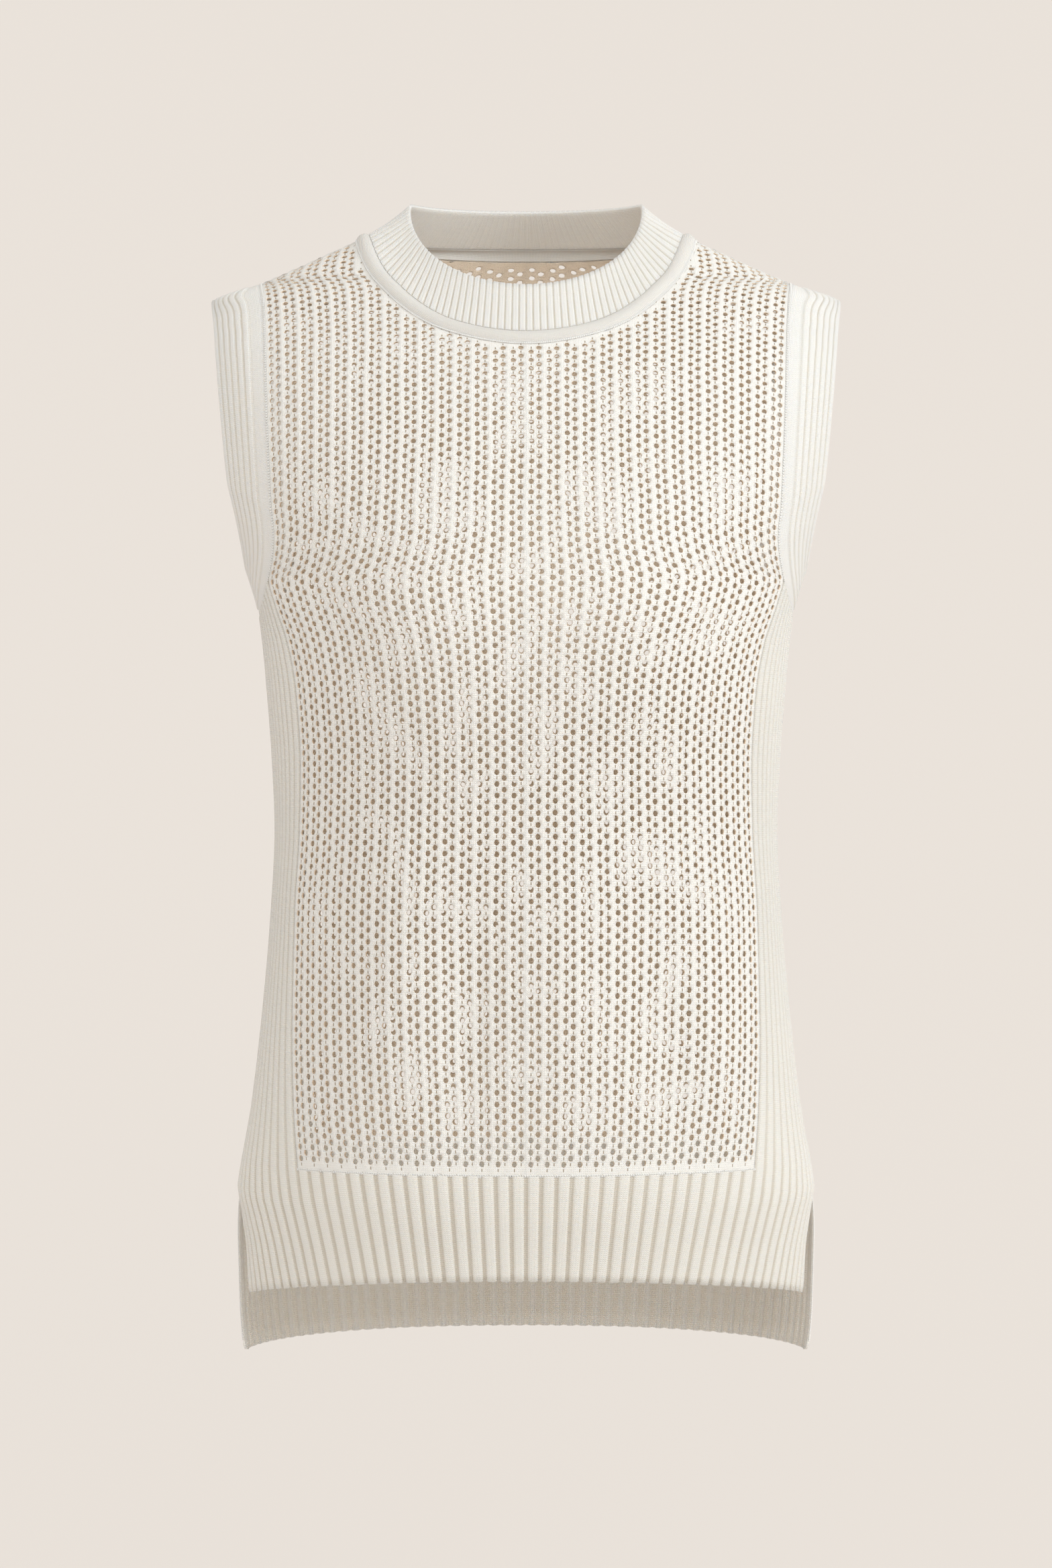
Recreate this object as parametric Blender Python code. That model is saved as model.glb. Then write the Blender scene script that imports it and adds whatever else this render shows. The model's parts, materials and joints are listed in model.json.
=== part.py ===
"""Sleeveless openwork knit top, as it stands filled out by an unseen wearer.

Metres, +Z up. The front faces -Y and the wearer's left is +X. The origin lies at mid-depth on the
centre line, at the height of the side neck points, where the garment hangs from the shoulders.

Every piece is cut from one body form: an upright stack of ovals whose half width, front depth,
back depth and squareness are read from a short table. A piece is lofted from its own rows of
points on that form, and its wall goes inwards along the form's normal. Ribs stand on the outside
only. Tables are in millimetres, and MM turns them into metres.
"""

import math
from bisect import bisect_right
from collections import namedtuple
from functools import lru_cache

import bmesh
import bpy
from mathutils import Vector

for old_object in list(bpy.data.objects):
    bpy.data.objects.remove(old_object, do_unlink=True)

MM = 0.001
FRONT, BACK = -1, 1  # the way each half faces along Y
SIDES = {"left": 1, "right": -1}  # the wearer's left is +X
HALVES = {"front": FRONT, "back": BACK}
SEAM_GAP = 0.3 * MM
HALF_GAP = SEAM_GAP / 2

# Walls and ribs
OPENWORK_WALL = 1.8 * MM
RIB_WALL = 1.5 * MM
HEM_RIB_HEIGHT = 1.3 * MM
SIDE_RIB_HEIGHT = 1.0 * MM
BAND_RIB_HEIGHT = 0.9 * MM
COLLAR_RIB_HEIGHT = 0.9 * MM
WELT_WALL = 1.8 * MM
WELT_ROLL = 2.6 * MM

# Ribs, with places given as shares of a rib's pitch or of the band's width
HEM_RIBS_UNDER_MESH = 16  # from the centre line to the edge of the openwork
HEM_RIBS_UNDER_SIDE = 11  # from the edge of the openwork to the side seam
HEM_RIDGE = (0.26, 0.74)  # where a ridge of the hem starts and ends
BAND_RIBS = 6
BAND_PLAIN = 0.22  # the smooth strip of an armhole band, next to its seam
COLLAR_RIBS = 124

# Heights
HEM_TOP = -584 * MM
SLIT_APEX = -603 * MM
HEM_CORNER = {FRONT: -669 * MM, BACK: -711 * MM}
HEM_RISE = {FRONT: 20 * MM, BACK: 3 * MM}  # how much higher the edges lie at the centre
HEM_BOW = 2.2  # above 2 the edge stays level for longer
HEM_MIDDLE = 0.45  # an extra row of the hem, as a share of its height below the slit's apex
MESH_LEAVES_ARMHOLE = -222 * MM

# The body form, an oval at each height
Section = namedtuple("Section", "height half_width front back squareness")
BODY_FORM = [
    Section(15, 67, 18, 70, 2.00),
    Section(-3, 108, 28, 90, 2.00),
    Section(-30, 168, 46, 97, 1.90),
    Section(-43, 201, 56, 100, 1.90),
    Section(-52, 207, 63, 102, 1.90),
    Section(-63, 212, 71, 103, 1.92),
    Section(-78, 215, 82, 105, 1.98),
    Section(-95, 215, 91, 107, 2.05),
    Section(-120, 211, 102, 110, 2.10),
    Section(-160, 199.5, 114, 112, 2.17),
    Section(-213, 177, 125, 110, 2.20),
    Section(-245, 168.2, 128, 106, 2.23),
    Section(-293, 163.3, 124.5, 99, 2.23),
    Section(-335, 160.3, 118, 93, 2.20),
    Section(-378, 158.7, 114, 89, 2.20),
    Section(-430, 161.3, 114, 91, 2.20),
    Section(-481, 165.5, 116, 97, 2.22),
    Section(-549, 173.2, 119, 107, 2.25),
    Section(-584, 179.2, 120, 111, 2.25),
    Section(-603, 182, 118, 112, 2.25),
    Section(-636, 184.5, 110, 109, 2.25),
    Section(-680, 184, 101, 103, 2.25),
    Section(-720, 181, 98, 98, 2.25),
]

# Below the slits the front half draws in, and both halves stop short of the side line
Slit = namedtuple("Slit", "height front_draw front_gap back_gap")
SLITS = [
    Slit(-603, 1.000, 0.15, 0.15),
    Slit(-618, 0.978, 7, 5),
    Slit(-636, 0.963, 14, 9),
    Slit(-668, 0.960, 19, 12),
    Slit(-720, 0.960, 21, 14),
]

# Across, from the centre line, on front and back alike
Line = namedtuple("Line", "height across")
BAND_SEAM = [
    Line(-30, 168),
    Line(-45, 165),
    Line(-80, 162),
    Line(-113, 160.3),
    Line(-155, 158.2),
    Line(-180, 157),
]
BAND_EDGE = [
    Line(-42, 199.4),
    Line(-52, 198.2),
    Line(-62, 196.7),
    Line(-105, 191.9),
    Line(-148, 187.5),
    Line(-160, 186.2),
]
BAND_SEAM_BOTTOM = -245 * MM
BAND_EDGE_BOTTOM = -213 * MM
MESH_EDGE = [
    Line(-240, 154.5),
    Line(-262, 147),
    Line(-290, 142),
    Line(-335, 139.5),
    Line(-378, 140.5),
    Line(-430, 143.5),
    Line(-500, 144.5),
    Line(-549, 143),
    Line(-584, 140),
]

# Heights of the panels' rows along the armhole, then down the side
ARMHOLE_ROWS = [-32.5, -40, -52, -68, -87, -108, -130, -154, -178, -201, -222]
SIDE_ROWS = [-248, -285, -325, -368, -411, -454, -497, -541, -584]
FREE_ROW = -130 * MM  # above it the rows rise towards each column's own top
NECK_STEPS = 18  # columns of the panel along its half of the neck seam
SHOULDER_STEPS = 4
UNDERARM_STEPS = 4
SECTION_STEPS = 120  # points along a half oval when its length is measured
EDGE_STEPS = 60
PLAN_STEPS = 720

# Soft folds, bumps outwards where depth is positive, hollows where it is negative
Fold = namedtuple("Fold", "across top bottom width depth lean")
FOLDS = {
    FRONT: [
        Fold(-66, -120, -360, 42, 5.0, 0.05),
        Fold(66, -120, -360, 42, 5.0, -0.05),
        Fold(-128, -180, -290, 15, -4.0, -0.55),
        Fold(128, -180, -290, 15, -3.0, 0.55),
        Fold(-78, -330, -590, 22, 3.5, 0.06),
        Fold(-34, -370, -620, 17, -4.5, 0.05),
        Fold(27, -340, -640, 24, 4.5, 0.02),
        Fold(86, -420, -610, 17, -4.5, -0.08),
        Fold(122, -400, -600, 15, 3.0, -0.05),
    ],
    BACK: [
        Fold(-70, -60, -260, 40, 4.0, 0.05),
        Fold(66, -60, -260, 42, 4.0, -0.05),
        Fold(-4, -120, -420, 20, -5.0, 0.03),
        Fold(-92, -300, -640, 20, -4.0, 0.08),
        Fold(-48, -320, -660, 24, 4.0, 0.05),
        Fold(40, -300, -650, 24, 4.5, -0.03),
        Fold(84, -350, -640, 17, -4.0, -0.10),
    ],
}
FOLDS_END = 150 * MM  # no fold reaches further across

# Curves round the neck: the sizes of their plan ovals, and the rim's heights
Round = namedtuple("Round", "half_width front back")
NECK_SEAM = Round(108, 82, 90)
COLLAR_RIM = Round(73.7, 58, 62)
RIM_FRONT, RIM_SIDE, RIM_BACK = -38.7 * MM, 22 * MM, 26.5 * MM
RIM_DROP = 0.90  # below 1 the rim stays low for longer at the front
RIM_SOFTENING = 0.12  # rounds the bend in height at the side of the neck
WELT_WIDTH = 9.5 * MM
WELT_FULLNESS = 0.7  # below 1 the roll is fuller than half a sine wave
WELT_STATIONS = (0, 0.2, 0.5, 0.8, 1)
WELT_LIFT = math.radians(1)  # how much steeper than the body the welt rises
RIB_FAN = 0.12  # radians that the front ribs lean out between base and rim
COLLAR_BELLY = -0.5 * MM  # below 0 the collar flares towards its base


class Curve:
    """A table's column as a smooth function of height, with no overshoot between rows."""

    def __init__(self, table, column, scale=MM):
        rows = sorted(table, key=lambda row: row.height)
        self.heights = [row.height * MM for row in rows]
        self.values = [getattr(row, column) * scale for row in rows]
        pairs = list(zip(self.heights, self.values))
        rises = [(v1 - v0) / (h1 - h0) for (h0, v0), (h1, v1) in zip(pairs, pairs[1:])]
        self.slopes = [rises[0]]
        for before, after in zip(rises, rises[1:]):
            even = before * after > 0
            self.slopes.append(2 * before * after / (before + after) if even else 0.0)
        self.slopes.append(rises[-1])

    def __call__(self, height):
        last = len(self.heights) - 2
        k = min(max(bisect_right(self.heights, height) - 1, 0), last)
        step = self.heights[k + 1] - self.heights[k]
        t = min(max((height - self.heights[k]) / step, 0.0), 1.0)
        v0, v1 = self.values[k], self.values[k + 1]
        s0, s1 = self.slopes[k] * step, self.slopes[k + 1] * step
        return (
            v0 * (1 + 2 * t) * (1 - t) ** 2
            + s0 * t * (1 - t) ** 2
            + v1 * t * t * (3 - 2 * t)
            + s1 * t * t * (t - 1)
        )


form_width = Curve(BODY_FORM, "half_width")
form_depth = {FRONT: Curve(BODY_FORM, "front"), BACK: Curve(BODY_FORM, "back")}
form_squareness = Curve(BODY_FORM, "squareness", 1.0)
front_draw = Curve(SLITS, "front_draw", 1.0)
slit_gap = {FRONT: Curve(SLITS, "front_gap"), BACK: Curve(SLITS, "back_gap")}
band_line = {"seam": Curve(BAND_SEAM, "across"), "edge": Curve(BAND_EDGE, "across")}
band_bottom = {"seam": BAND_SEAM_BOTTOM, "edge": BAND_EDGE_BOTTOM}
band_bend = {"seam": BAND_SEAM[-1].height * MM, "edge": BAND_EDGE[-1].height * MM}
band_crest = {"seam": BAND_SEAM[0].across * MM, "edge": BAND_EDGE[0].across * MM}


def root(function, low, high):
    """The place between low and high where a function changes sign."""
    sign = function(low) > 0
    for _ in range(50):
        middle = (low + high) / 2
        if (function(middle) > 0) == sign:
            low = middle
        else:
            high = middle
    return (low + high) / 2


def oval(half, z):
    """Half width, depth and squareness of one half of the form at a height."""
    draw = front_draw(z) if half == FRONT and z < SLIT_APEX else 1.0
    return form_width(z) * draw, form_depth[half](z), form_squareness(z)


def fold_rise(half, x, z):
    """How far the folds move the cloth outwards at a place."""
    fade = max(0.0, 1 - (abs(x) / FOLDS_END) ** 6)
    total = 0.0
    for fold in FOLDS[half]:
        middle, reach = (fold.top + fold.bottom) / 2 * MM, (fold.top - fold.bottom) / 2 * MM
        along = (z - middle) / reach
        if fade and abs(along) < 1:
            aside = (x - fold.across * MM - fold.lean * (z - middle)) / (fold.width * MM)
            total += fold.depth * MM * math.cos(math.pi * along / 2) ** 2 * math.exp(-aside * aside)
    return total * fade


def depth_at(half, x, z):
    """Y of the form at a place across it."""
    width, depth, n = oval(half, z)
    share = min(abs(x) / width, 1.0)
    return half * (depth * (1 - share**n) ** (1 / n) + fold_rise(half, x, z))


def width_at(y, z):
    """X of the form near its side, at a distance in front of or behind the side line."""
    width, depth, n = oval(FRONT if y < 0 else BACK, z)
    return width * (1 - min(abs(y) / depth, 1.0) ** n) ** (1 / n)


def form_value(half, point):
    """Zero on the form, positive outside it."""
    width, depth, n = oval(half, point.z)
    out = max(abs(point.y) - fold_rise(half, point.x, point.z), 0.0)
    return (abs(point.x) / width) ** n + (out / depth) ** n - 1


def normal_at(half, point):
    """The form's outward direction."""
    step = 0.1 * MM
    slopes = []
    for axis in range(3):
        ahead, behind = point.copy(), point.copy()
        ahead[axis] += step
        behind[axis] -= step
        slopes.append(form_value(half, ahead) - form_value(half, behind))
    return Vector(slopes).normalized()


@lru_cache(maxsize=None)
def section_line(half, side, z, stop):
    """Points of a quarter oval from the centre line to stop short of the side, with lengths."""
    width, depth, n = oval(half, z)
    last = math.acos(min((stop / depth) ** (n / 2), 1.0))
    points, lengths = [], [0.0]
    for k in range(SECTION_STEPS + 1):
        angle = last * k / SECTION_STEPS
        x = side * width * math.sin(angle) ** (2 / n)
        y = half * (depth * math.cos(angle) ** (2 / n) + fold_rise(half, x, z))
        points.append(Vector((x, y, z)))
        if k:
            lengths.append(lengths[-1] + (points[-1] - points[-2]).length)
    return points, lengths


def stop_at(half, z):
    """How far from the side line a half ends: half a seam, or half the open slit."""
    return slit_gap[half](z) if z < SLIT_APEX else HALF_GAP


def side_of(value):
    return -1 if value < 0 else 1


def section_length(half, side, z, stop=None):
    return section_line(half, side, z, stop_at(half, z) if stop is None else stop)[1][-1]


def along_section(half, z, length, stop=None):
    """The point of a half oval at a signed length from the centre line."""
    stop = stop_at(half, z) if stop is None else stop
    points, lengths = section_line(half, side_of(length), z, stop)
    wanted = min(abs(length), lengths[-1])
    k = min(max(bisect_right(lengths, wanted) - 1, 0), len(points) - 2)
    share = (wanted - lengths[k]) / (lengths[k + 1] - lengths[k])
    return points[k].lerp(points[k + 1], min(share, 1.0))


def length_to(half, x, z):
    """Length along a half oval from the centre line to a place across it."""
    points, lengths = section_line(half, side_of(x), z, 0.0)
    for k in range(1, len(points)):
        if abs(points[k].x) >= abs(x):
            share = (x - points[k - 1].x) / (points[k].x - points[k - 1].x)
            return lengths[k - 1] + share * (lengths[k] - lengths[k - 1])
    return lengths[-1]


def crest_height(x):
    """Height of the shoulder line at a place across it."""
    return root(lambda z: form_width(z) - x, -45 * MM, 15 * MM)


def band_curve_point(line, half, z):
    """A point of the armhole's seam or edge on one half, at a height."""
    bend, bottom = band_bend[line], band_bottom[line]
    if z >= bend:
        x = min(band_line[line](z), form_width(z))
        return Vector((x, depth_at(half, x, z), z))
    start = abs(depth_at(half, band_line[line](bend), bend))
    y = half * start * math.sqrt(max(1 - ((z - bend) / (bottom - bend)) ** 2, 0.0))
    return Vector((width_at(y, z), y, z))


@lru_cache(maxsize=None)
def free_edge(half):
    """The openwork's edge below the armhole, which starts where it leaves the band's seam."""
    start = band_curve_point("seam", half, MESH_LEAVES_ARMHOLE)
    return Curve([Line(start.z / MM, start.x / MM)] + MESH_EDGE, "across")


def mesh_edge_length(half, side, z):
    """Length from the centre line to the edge of the openwork panel."""
    top = crest_height(band_crest["seam"])
    if z >= top:
        return section_length(half, side, top, 0.0)
    if z >= MESH_LEAVES_ARMHOLE:
        return length_to(half, side * band_curve_point("seam", half, z).x, z)
    return length_to(half, side * free_edge(half)(z), z)


def chain(half, points, wall, rises=None):
    """Outer and inner points of a wall along a row of points on the form."""
    outer, inner = [], []
    for k, point in enumerate(points):
        normal = normal_at(half, point)
        outer.append(point + normal * (rises[k] if rises else 0.0))
        inner.append(point - normal * wall)
    return outer, inner


def loft(name, material, sections, closed=False):
    """A closed solid through sections, each an outer and an inner row of points."""
    mesh = bpy.data.meshes.new(name)
    shape = bmesh.new()
    rings = []
    for outer, inner in sections:
        rings.append([shape.verts.new(p) for p in outer + inner[::-1]])
    count = len(sections[0][0])
    spans = list(zip(rings, rings[1:] + rings[:1])) if closed else list(zip(rings, rings[1:]))
    for ring, following in spans:
        for k in range(len(ring)):
            j = (k + 1) % len(ring)
            shape.faces.new((ring[k], ring[j], following[j], following[k]))
    if not closed:
        for ring in (rings[0], rings[-1]):
            zip_cap(shape, ring[:count], ring[count:][::-1])
    bmesh.ops.triangulate(shape, faces=[face for face in shape.faces if len(face.verts) > 3])
    bmesh.ops.recalc_face_normals(shape, faces=shape.faces)
    shape.to_mesh(mesh)
    shape.free()
    mesh.materials.append(material)
    piece = bpy.data.objects.new(name, mesh)
    garment.objects.link(piece)
    return piece


def zip_cap(shape, first, second):
    """Triangles between two rows of corners that start and end side by side."""
    a = b = 0
    while a < len(first) - 1 or b < len(second) - 1:
        next_a = (a + 1) / (len(first) - 1)
        next_b = (b + 1) / (len(second) - 1)
        if b == len(second) - 1 or (a < len(first) - 1 and next_a <= next_b):
            shape.faces.new((first[a], first[a + 1], second[b]))
            a += 1
        else:
            shape.faces.new((first[a], second[b + 1], second[b]))
            b += 1


def knit(name, colour, roughness):
    """A plain knit finish."""
    material = bpy.data.materials.new(name)
    material.use_nodes = True
    surface = material.node_tree.nodes["Principled BSDF"]
    surface.inputs["Base Color"].default_value = (*colour, 1)
    surface.inputs["Roughness"].default_value = roughness
    surface.inputs["Metallic"].default_value = 0
    return material


# Openwork panels


def neck_plan(curve, angle, grow=0.0):
    """X and Y of a curve round the neck, at an angle from the front centre."""
    side, ahead = math.sin(angle), math.cos(angle)
    depth = curve.front if ahead > 0 else curve.back
    return (curve.half_width * MM + grow) * side, -(depth * MM + grow) * ahead


def neck_seam_point(angle, grow=0.0):
    """A point of the seam between the body and the neck's welt, on the form."""
    x, y = neck_plan(NECK_SEAM, angle, grow)
    half = FRONT if y < 0 else BACK
    height = root(lambda z: form_value(half, Vector((x, y, z))), -120 * MM, 14 * MM)
    return Vector((x, y, height))


def panel_width(half, side, z):
    """Width of one side of an openwork panel along its section, half a seam short of its edge."""
    return mesh_edge_length(half, side, z) - HALF_GAP


def column_tops(half):
    """Where each column of an openwork half ends: its share of the width, and its height.

    No fold reaches that high, so both sides end alike.
    """
    tops = []
    for k in range(NECK_STEPS // 2 + 1):
        turn = math.pi / 2 * k / (NECK_STEPS // 2)
        point = neck_seam_point(turn if half == FRONT else math.pi - turn, HALF_GAP)
        share = length_to(half, point.x, point.z) / panel_width(half, 1, point.z)
        tops.append((share, point.z))
    inner, outer = NECK_SEAM.half_width * MM + HALF_GAP, band_crest["seam"]
    for k in range(1, SHOULDER_STEPS + 1):
        height = crest_height(inner + (outer - inner) * k / SHOULDER_STEPS)
        share = min(section_length(half, 1, height) / panel_width(half, 1, height), 1.0)
        tops.append((share, height))
    return tops


def mesh_column(half, share, top):
    """Points of an openwork column from the hem up to its top."""
    seam_top = crest_height(band_crest["seam"])
    rows = [HEM_TOP + HALF_GAP] + [z * MM for z in SIDE_ROWS[-2::-1] + ARMHOLE_ROWS[::-1]]
    heights = []
    for row in rows + [seam_top]:
        rise = max(row - FREE_ROW, 0.0) / (seam_top - FREE_ROW)
        heights.append(row if row <= FREE_ROW else FREE_ROW + rise * (top - FREE_ROW))
    side = side_of(share)
    return [along_section(half, z, share * panel_width(half, side, z), HALF_GAP) for z in heights]


def openwork(name, half):
    tops = column_tops(half)
    columns = [(-share, top) for share, top in tops[:0:-1]] + tops
    sections = [chain(half, mesh_column(half, *column), OPENWORK_WALL) for column in columns]
    return loft(name, openwork_finish, sections)


# Ribbed side panels


def underarm_top(half, side, share):
    """Height where a line down the side panel meets the armhole seam."""
    height = (MESH_LEAVES_ARMHOLE + BAND_SEAM_BOTTOM) / 2
    bend, bottom = band_bend["seam"], BAND_SEAM_BOTTOM
    start = abs(band_curve_point("seam", half, bend).y)
    for _ in range(60):
        y = min(abs(side_point(half, side, share, height).y), start)
        wanted = bend + (bottom - bend) * math.sqrt(1 - (y / start) ** 2)
        height += 0.5 * (wanted - height)
    return height - 1.5 * SEAM_GAP


def side_point(half, side, share, z):
    """A point of a side panel, from the openwork's edge at share 0 to the side seam at 1."""
    inner = mesh_edge_length(half, side, min(z, MESH_LEAVES_ARMHOLE)) + HALF_GAP
    outer = section_length(half, side, z, HALF_GAP)
    return along_section(half, z, side * (inner + (outer - inner) * share), HALF_GAP)


def side_ribs(name, half, side):
    """Ribs that run down from the armhole into the ribs of the hem."""
    count = 2 * HEM_RIBS_UNDER_SIDE
    shares = [k / count for k in range(count + 1)]
    rises = [SIDE_RIB_HEIGHT * (k % 2) for k in range(count + 1)]
    tops = {share: underarm_top(half, side, share) for share in shares}
    sections = []
    for row in [None] + SIDE_ROWS:
        def height(share):
            if row is None:
                return tops[share]
            return row * MM + (HALF_GAP if row * MM <= HEM_TOP else 0.0)

        ridges = [side_point(half, side, s, height(s)) for s in shares]
        plain = [side_point(half, side, s, height(s)) for s in shares[::2]]
        sections.append((chain(half, ridges, 0, rises)[0], chain(half, plain, RIB_WALL)[1]))
    return loft(name, rib_finish, sections)


# Ribbed hems


def hem_edge(half, share):
    """Height of the lower edge at a share of the way from the centre to the slit."""
    return HEM_CORNER[half] + HEM_RISE[half] * (1 - abs(share) ** HEM_BOW)


def hem_share(half, rib):
    """Share of the half width at a rib, so that the ribs meet those of the side panel."""
    side = side_of(rib)
    across = mesh_edge_length(half, side, HEM_TOP) / section_length(half, side, HEM_TOP, HALF_GAP)
    if abs(rib) <= HEM_RIBS_UNDER_MESH:
        return across * rib / HEM_RIBS_UNDER_MESH
    beyond = (abs(rib) - HEM_RIBS_UNDER_MESH) / HEM_RIBS_UNDER_SIDE
    return math.copysign(across + (1 - across) * beyond, rib)


def hem(name, half):
    """One half of the split hem, each rib a flat ridge beside a narrow groove."""
    ribs = HEM_RIBS_UNDER_MESH + HEM_RIBS_UNDER_SIDE
    stations = []
    for rib in range(-ribs, ribs):
        stations += [(rib, 0.0)] + [(rib + edge, HEM_RIB_HEIGHT) for edge in HEM_RIDGE]
    stations.append((ribs, 0.0))
    sections = []
    for rib, rise in stations:
        share = hem_share(half, rib)
        top, bottom = HEM_TOP - HALF_GAP, hem_edge(half, share)
        middle = SLIT_APEX + (bottom - SLIT_APEX) * HEM_MIDDLE
        outer, inner = [], []
        for height in (bottom, middle, SLIT_APEX, top):
            length = section_length(half, side_of(share), height)
            point = along_section(half, height, share * length)
            normal = normal_at(half, point)
            outer.append(point + normal * rise)
            inner.append(point - normal * RIB_WALL)
        sections.append((outer, [inner[0], inner[1], inner[3]]))
    return loft(name, rib_finish, sections)


# Ribbed armhole bands


def band_stations(half):
    """Seam and edge points side by side, from the shoulder line to under the arm."""
    seam_heights = [crest_height(band_crest["seam"])] + [z * MM for z in ARMHOLE_ROWS]
    seam = [band_curve_point("seam", half, z) for z in seam_heights]
    bend, bottom = band_bend["seam"], BAND_SEAM_BOTTOM
    first = math.asin((seam_heights[-1] - bend) / (bottom - bend))
    for k in range(1, UNDERARM_STEPS + 1):
        angle = first + (math.pi / 2 - first) * k / UNDERARM_STEPS
        seam.append(band_curve_point("seam", half, bend + (bottom - bend) * math.sin(angle)))
    edge_start, edge_bend = crest_height(band_crest["edge"]), band_bend["edge"]
    edge = []
    for k in range(EDGE_STEPS):
        height = edge_start + (edge_bend - edge_start) * (k / EDGE_STEPS) ** 2
        edge.append(band_curve_point("edge", half, height))
    for k in range(EDGE_STEPS + 1):
        turn = math.sin(math.pi / 2 * k / EDGE_STEPS)
        height = edge_bend + (BAND_EDGE_BOTTOM - edge_bend) * turn
        edge.append(band_curve_point("edge", half, height))
    return list(zip(seam, at_shares(edge, shares_along(seam))))


def shares_along(points):
    """Each point's share of the length of a line."""
    lengths = [0.0]
    for before, after in zip(points, points[1:]):
        lengths.append(lengths[-1] + (after - before).length)
    return [length / lengths[-1] for length in lengths]


def at_shares(points, shares):
    """Points at shares of the length of a line."""
    own = shares_along(points)
    found = []
    for share in shares:
        k = min(max(bisect_right(own, share) - 1, 0), len(points) - 2)
        found.append(points[k].lerp(points[k + 1], (share - own[k]) / (own[k + 1] - own[k])))
    return found


def armhole_band(name, side):
    """A band of lengthwise ribs round an armhole, plain next to its seam."""
    pitch = (1 - BAND_PLAIN) / BAND_RIBS
    across = [0.0, BAND_PLAIN]
    rises = [0.0, 0.0]
    for rib in range(BAND_RIBS):
        across += [BAND_PLAIN + pitch * (rib + 0.5), BAND_PLAIN + pitch * (rib + 1)]
        rises += [BAND_RIB_HEIGHT, 0.0]
    front, back = band_stations(FRONT), band_stations(BACK)
    sections = []
    for half, stations in ((FRONT, front), (BACK, back[-2:0:-1])):
        for seam, edge in stations:
            start = HALF_GAP / (edge - seam).length
            outer, inner = [], []
            for share, rise in zip(across, rises):
                q = start + (1 - start) * share
                y = seam.y + (edge.y - seam.y) * q
                z = seam.z + (edge.z - seam.z) * q
                point = Vector((width_at(y, z), y, z))
                normal = normal_at(half, point)
                outer.append(point + normal * rise)
                inner.append(point - normal * RIB_WALL)
            middle = len(inner) // 2
            sections.append((outer, [inner[0], inner[middle], inner[-1]]))
    for outer, inner in sections:
        for point in outer + inner:
            point.x *= side
    return loft(name, rib_finish, sections, closed=True)


# Neck


def seam_direction(angle):
    """The form's outward direction at the neck seam."""
    point = neck_seam_point(angle)
    return normal_at(FRONT if point.y < 0 else BACK, point)


def rise_direction(lower, upper, angle):
    """The outward direction of a strip between two curves round the neck."""
    step = 0.01
    ahead = lower(angle + step) + upper(angle + step)
    behind = lower(angle - step) + upper(angle - step)
    return (ahead - behind).cross(upper(angle) - lower(angle)).normalized()


@lru_cache(maxsize=None)
def collar_base_point(angle):
    """A point of the line where the welt meets the collar."""
    step = 0.01
    point, out = neck_seam_point(angle), seam_direction(angle)
    tangent = (neck_seam_point(angle + step) - neck_seam_point(angle - step)).normalized()
    inwards = out.cross(tangent)
    return point + WELT_WIDTH * (inwards * math.cos(WELT_LIFT) + out * math.sin(WELT_LIFT))


def rim_point(angle):
    """A point of the collar's rim, on the rib that starts at an angle on its base."""
    if math.cos(angle) > 0:
        angle += RIB_FAN * math.sin(2 * angle)
    x, y = neck_plan(COLLAR_RIM, angle)
    ahead, soft = math.cos(angle), RIM_SOFTENING
    forward = ((ahead + math.hypot(ahead, soft)) / (1 + math.hypot(1, soft))) ** RIM_DROP
    behind = ((1 - ahead) / 2) ** 2 * (1 - forward)
    height = RIM_SIDE + (RIM_FRONT - RIM_SIDE) * forward + (RIM_BACK - RIM_SIDE) * behind
    return Vector((x, y, height))


def base_direction(angle):
    """The direction through the cloth that the welt and the collar share at their line."""
    welt = rise_direction(neck_seam_point, collar_base_point, angle)
    return (welt + rise_direction(collar_base_point, rim_point, angle)).normalized()


def even_angles(curve, count):
    """Angles that divide a curve round the neck into equal lengths."""
    angles = [2 * math.pi * k / PLAN_STEPS for k in range(PLAN_STEPS + 1)]
    line = [Vector((*neck_plan(curve, angle), 0)) for angle in angles]
    own = shares_along(line)
    even = []
    for k in range(count):
        j = bisect_right(own, k / count) - 1
        share = (k / count - own[j]) / (own[j + 1] - own[j])
        even.append(angles[j] + share * (angles[j + 1] - angles[j]))
    return even


def neck_welt(name):
    """A smooth tubular roll between the body and the collar."""
    turn = math.pi / NECK_STEPS
    feet = []
    for k in range(2 * NECK_STEPS):
        low = neck_seam_point(turn * k, -HALF_GAP)
        feet.append((turn * k, low, low - seam_direction(turn * k) * WELT_WALL))
    stations = []
    for (angle, low, under), (_, next_low, next_under) in zip(feet, feet[1:] + feet[:1]):
        stations.append((angle, low, under))
        stations.append((angle + turn / 2, (low + next_low) / 2, (under + next_under) / 2))
    sections = []
    for angle, low, under in stations:
        high = collar_base_point(angle)
        high = high + (low - high).normalized() * HALF_GAP
        out = rise_direction(neck_seam_point, collar_base_point, angle)
        outer = [
            low.lerp(high, share) + out * WELT_ROLL * math.sin(math.pi * share) ** WELT_FULLNESS
            for share in WELT_STATIONS
        ]
        sections.append((outer, [under, high - base_direction(angle) * WELT_WALL]))
    return loft(name, welt_finish, sections, closed=True)


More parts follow.
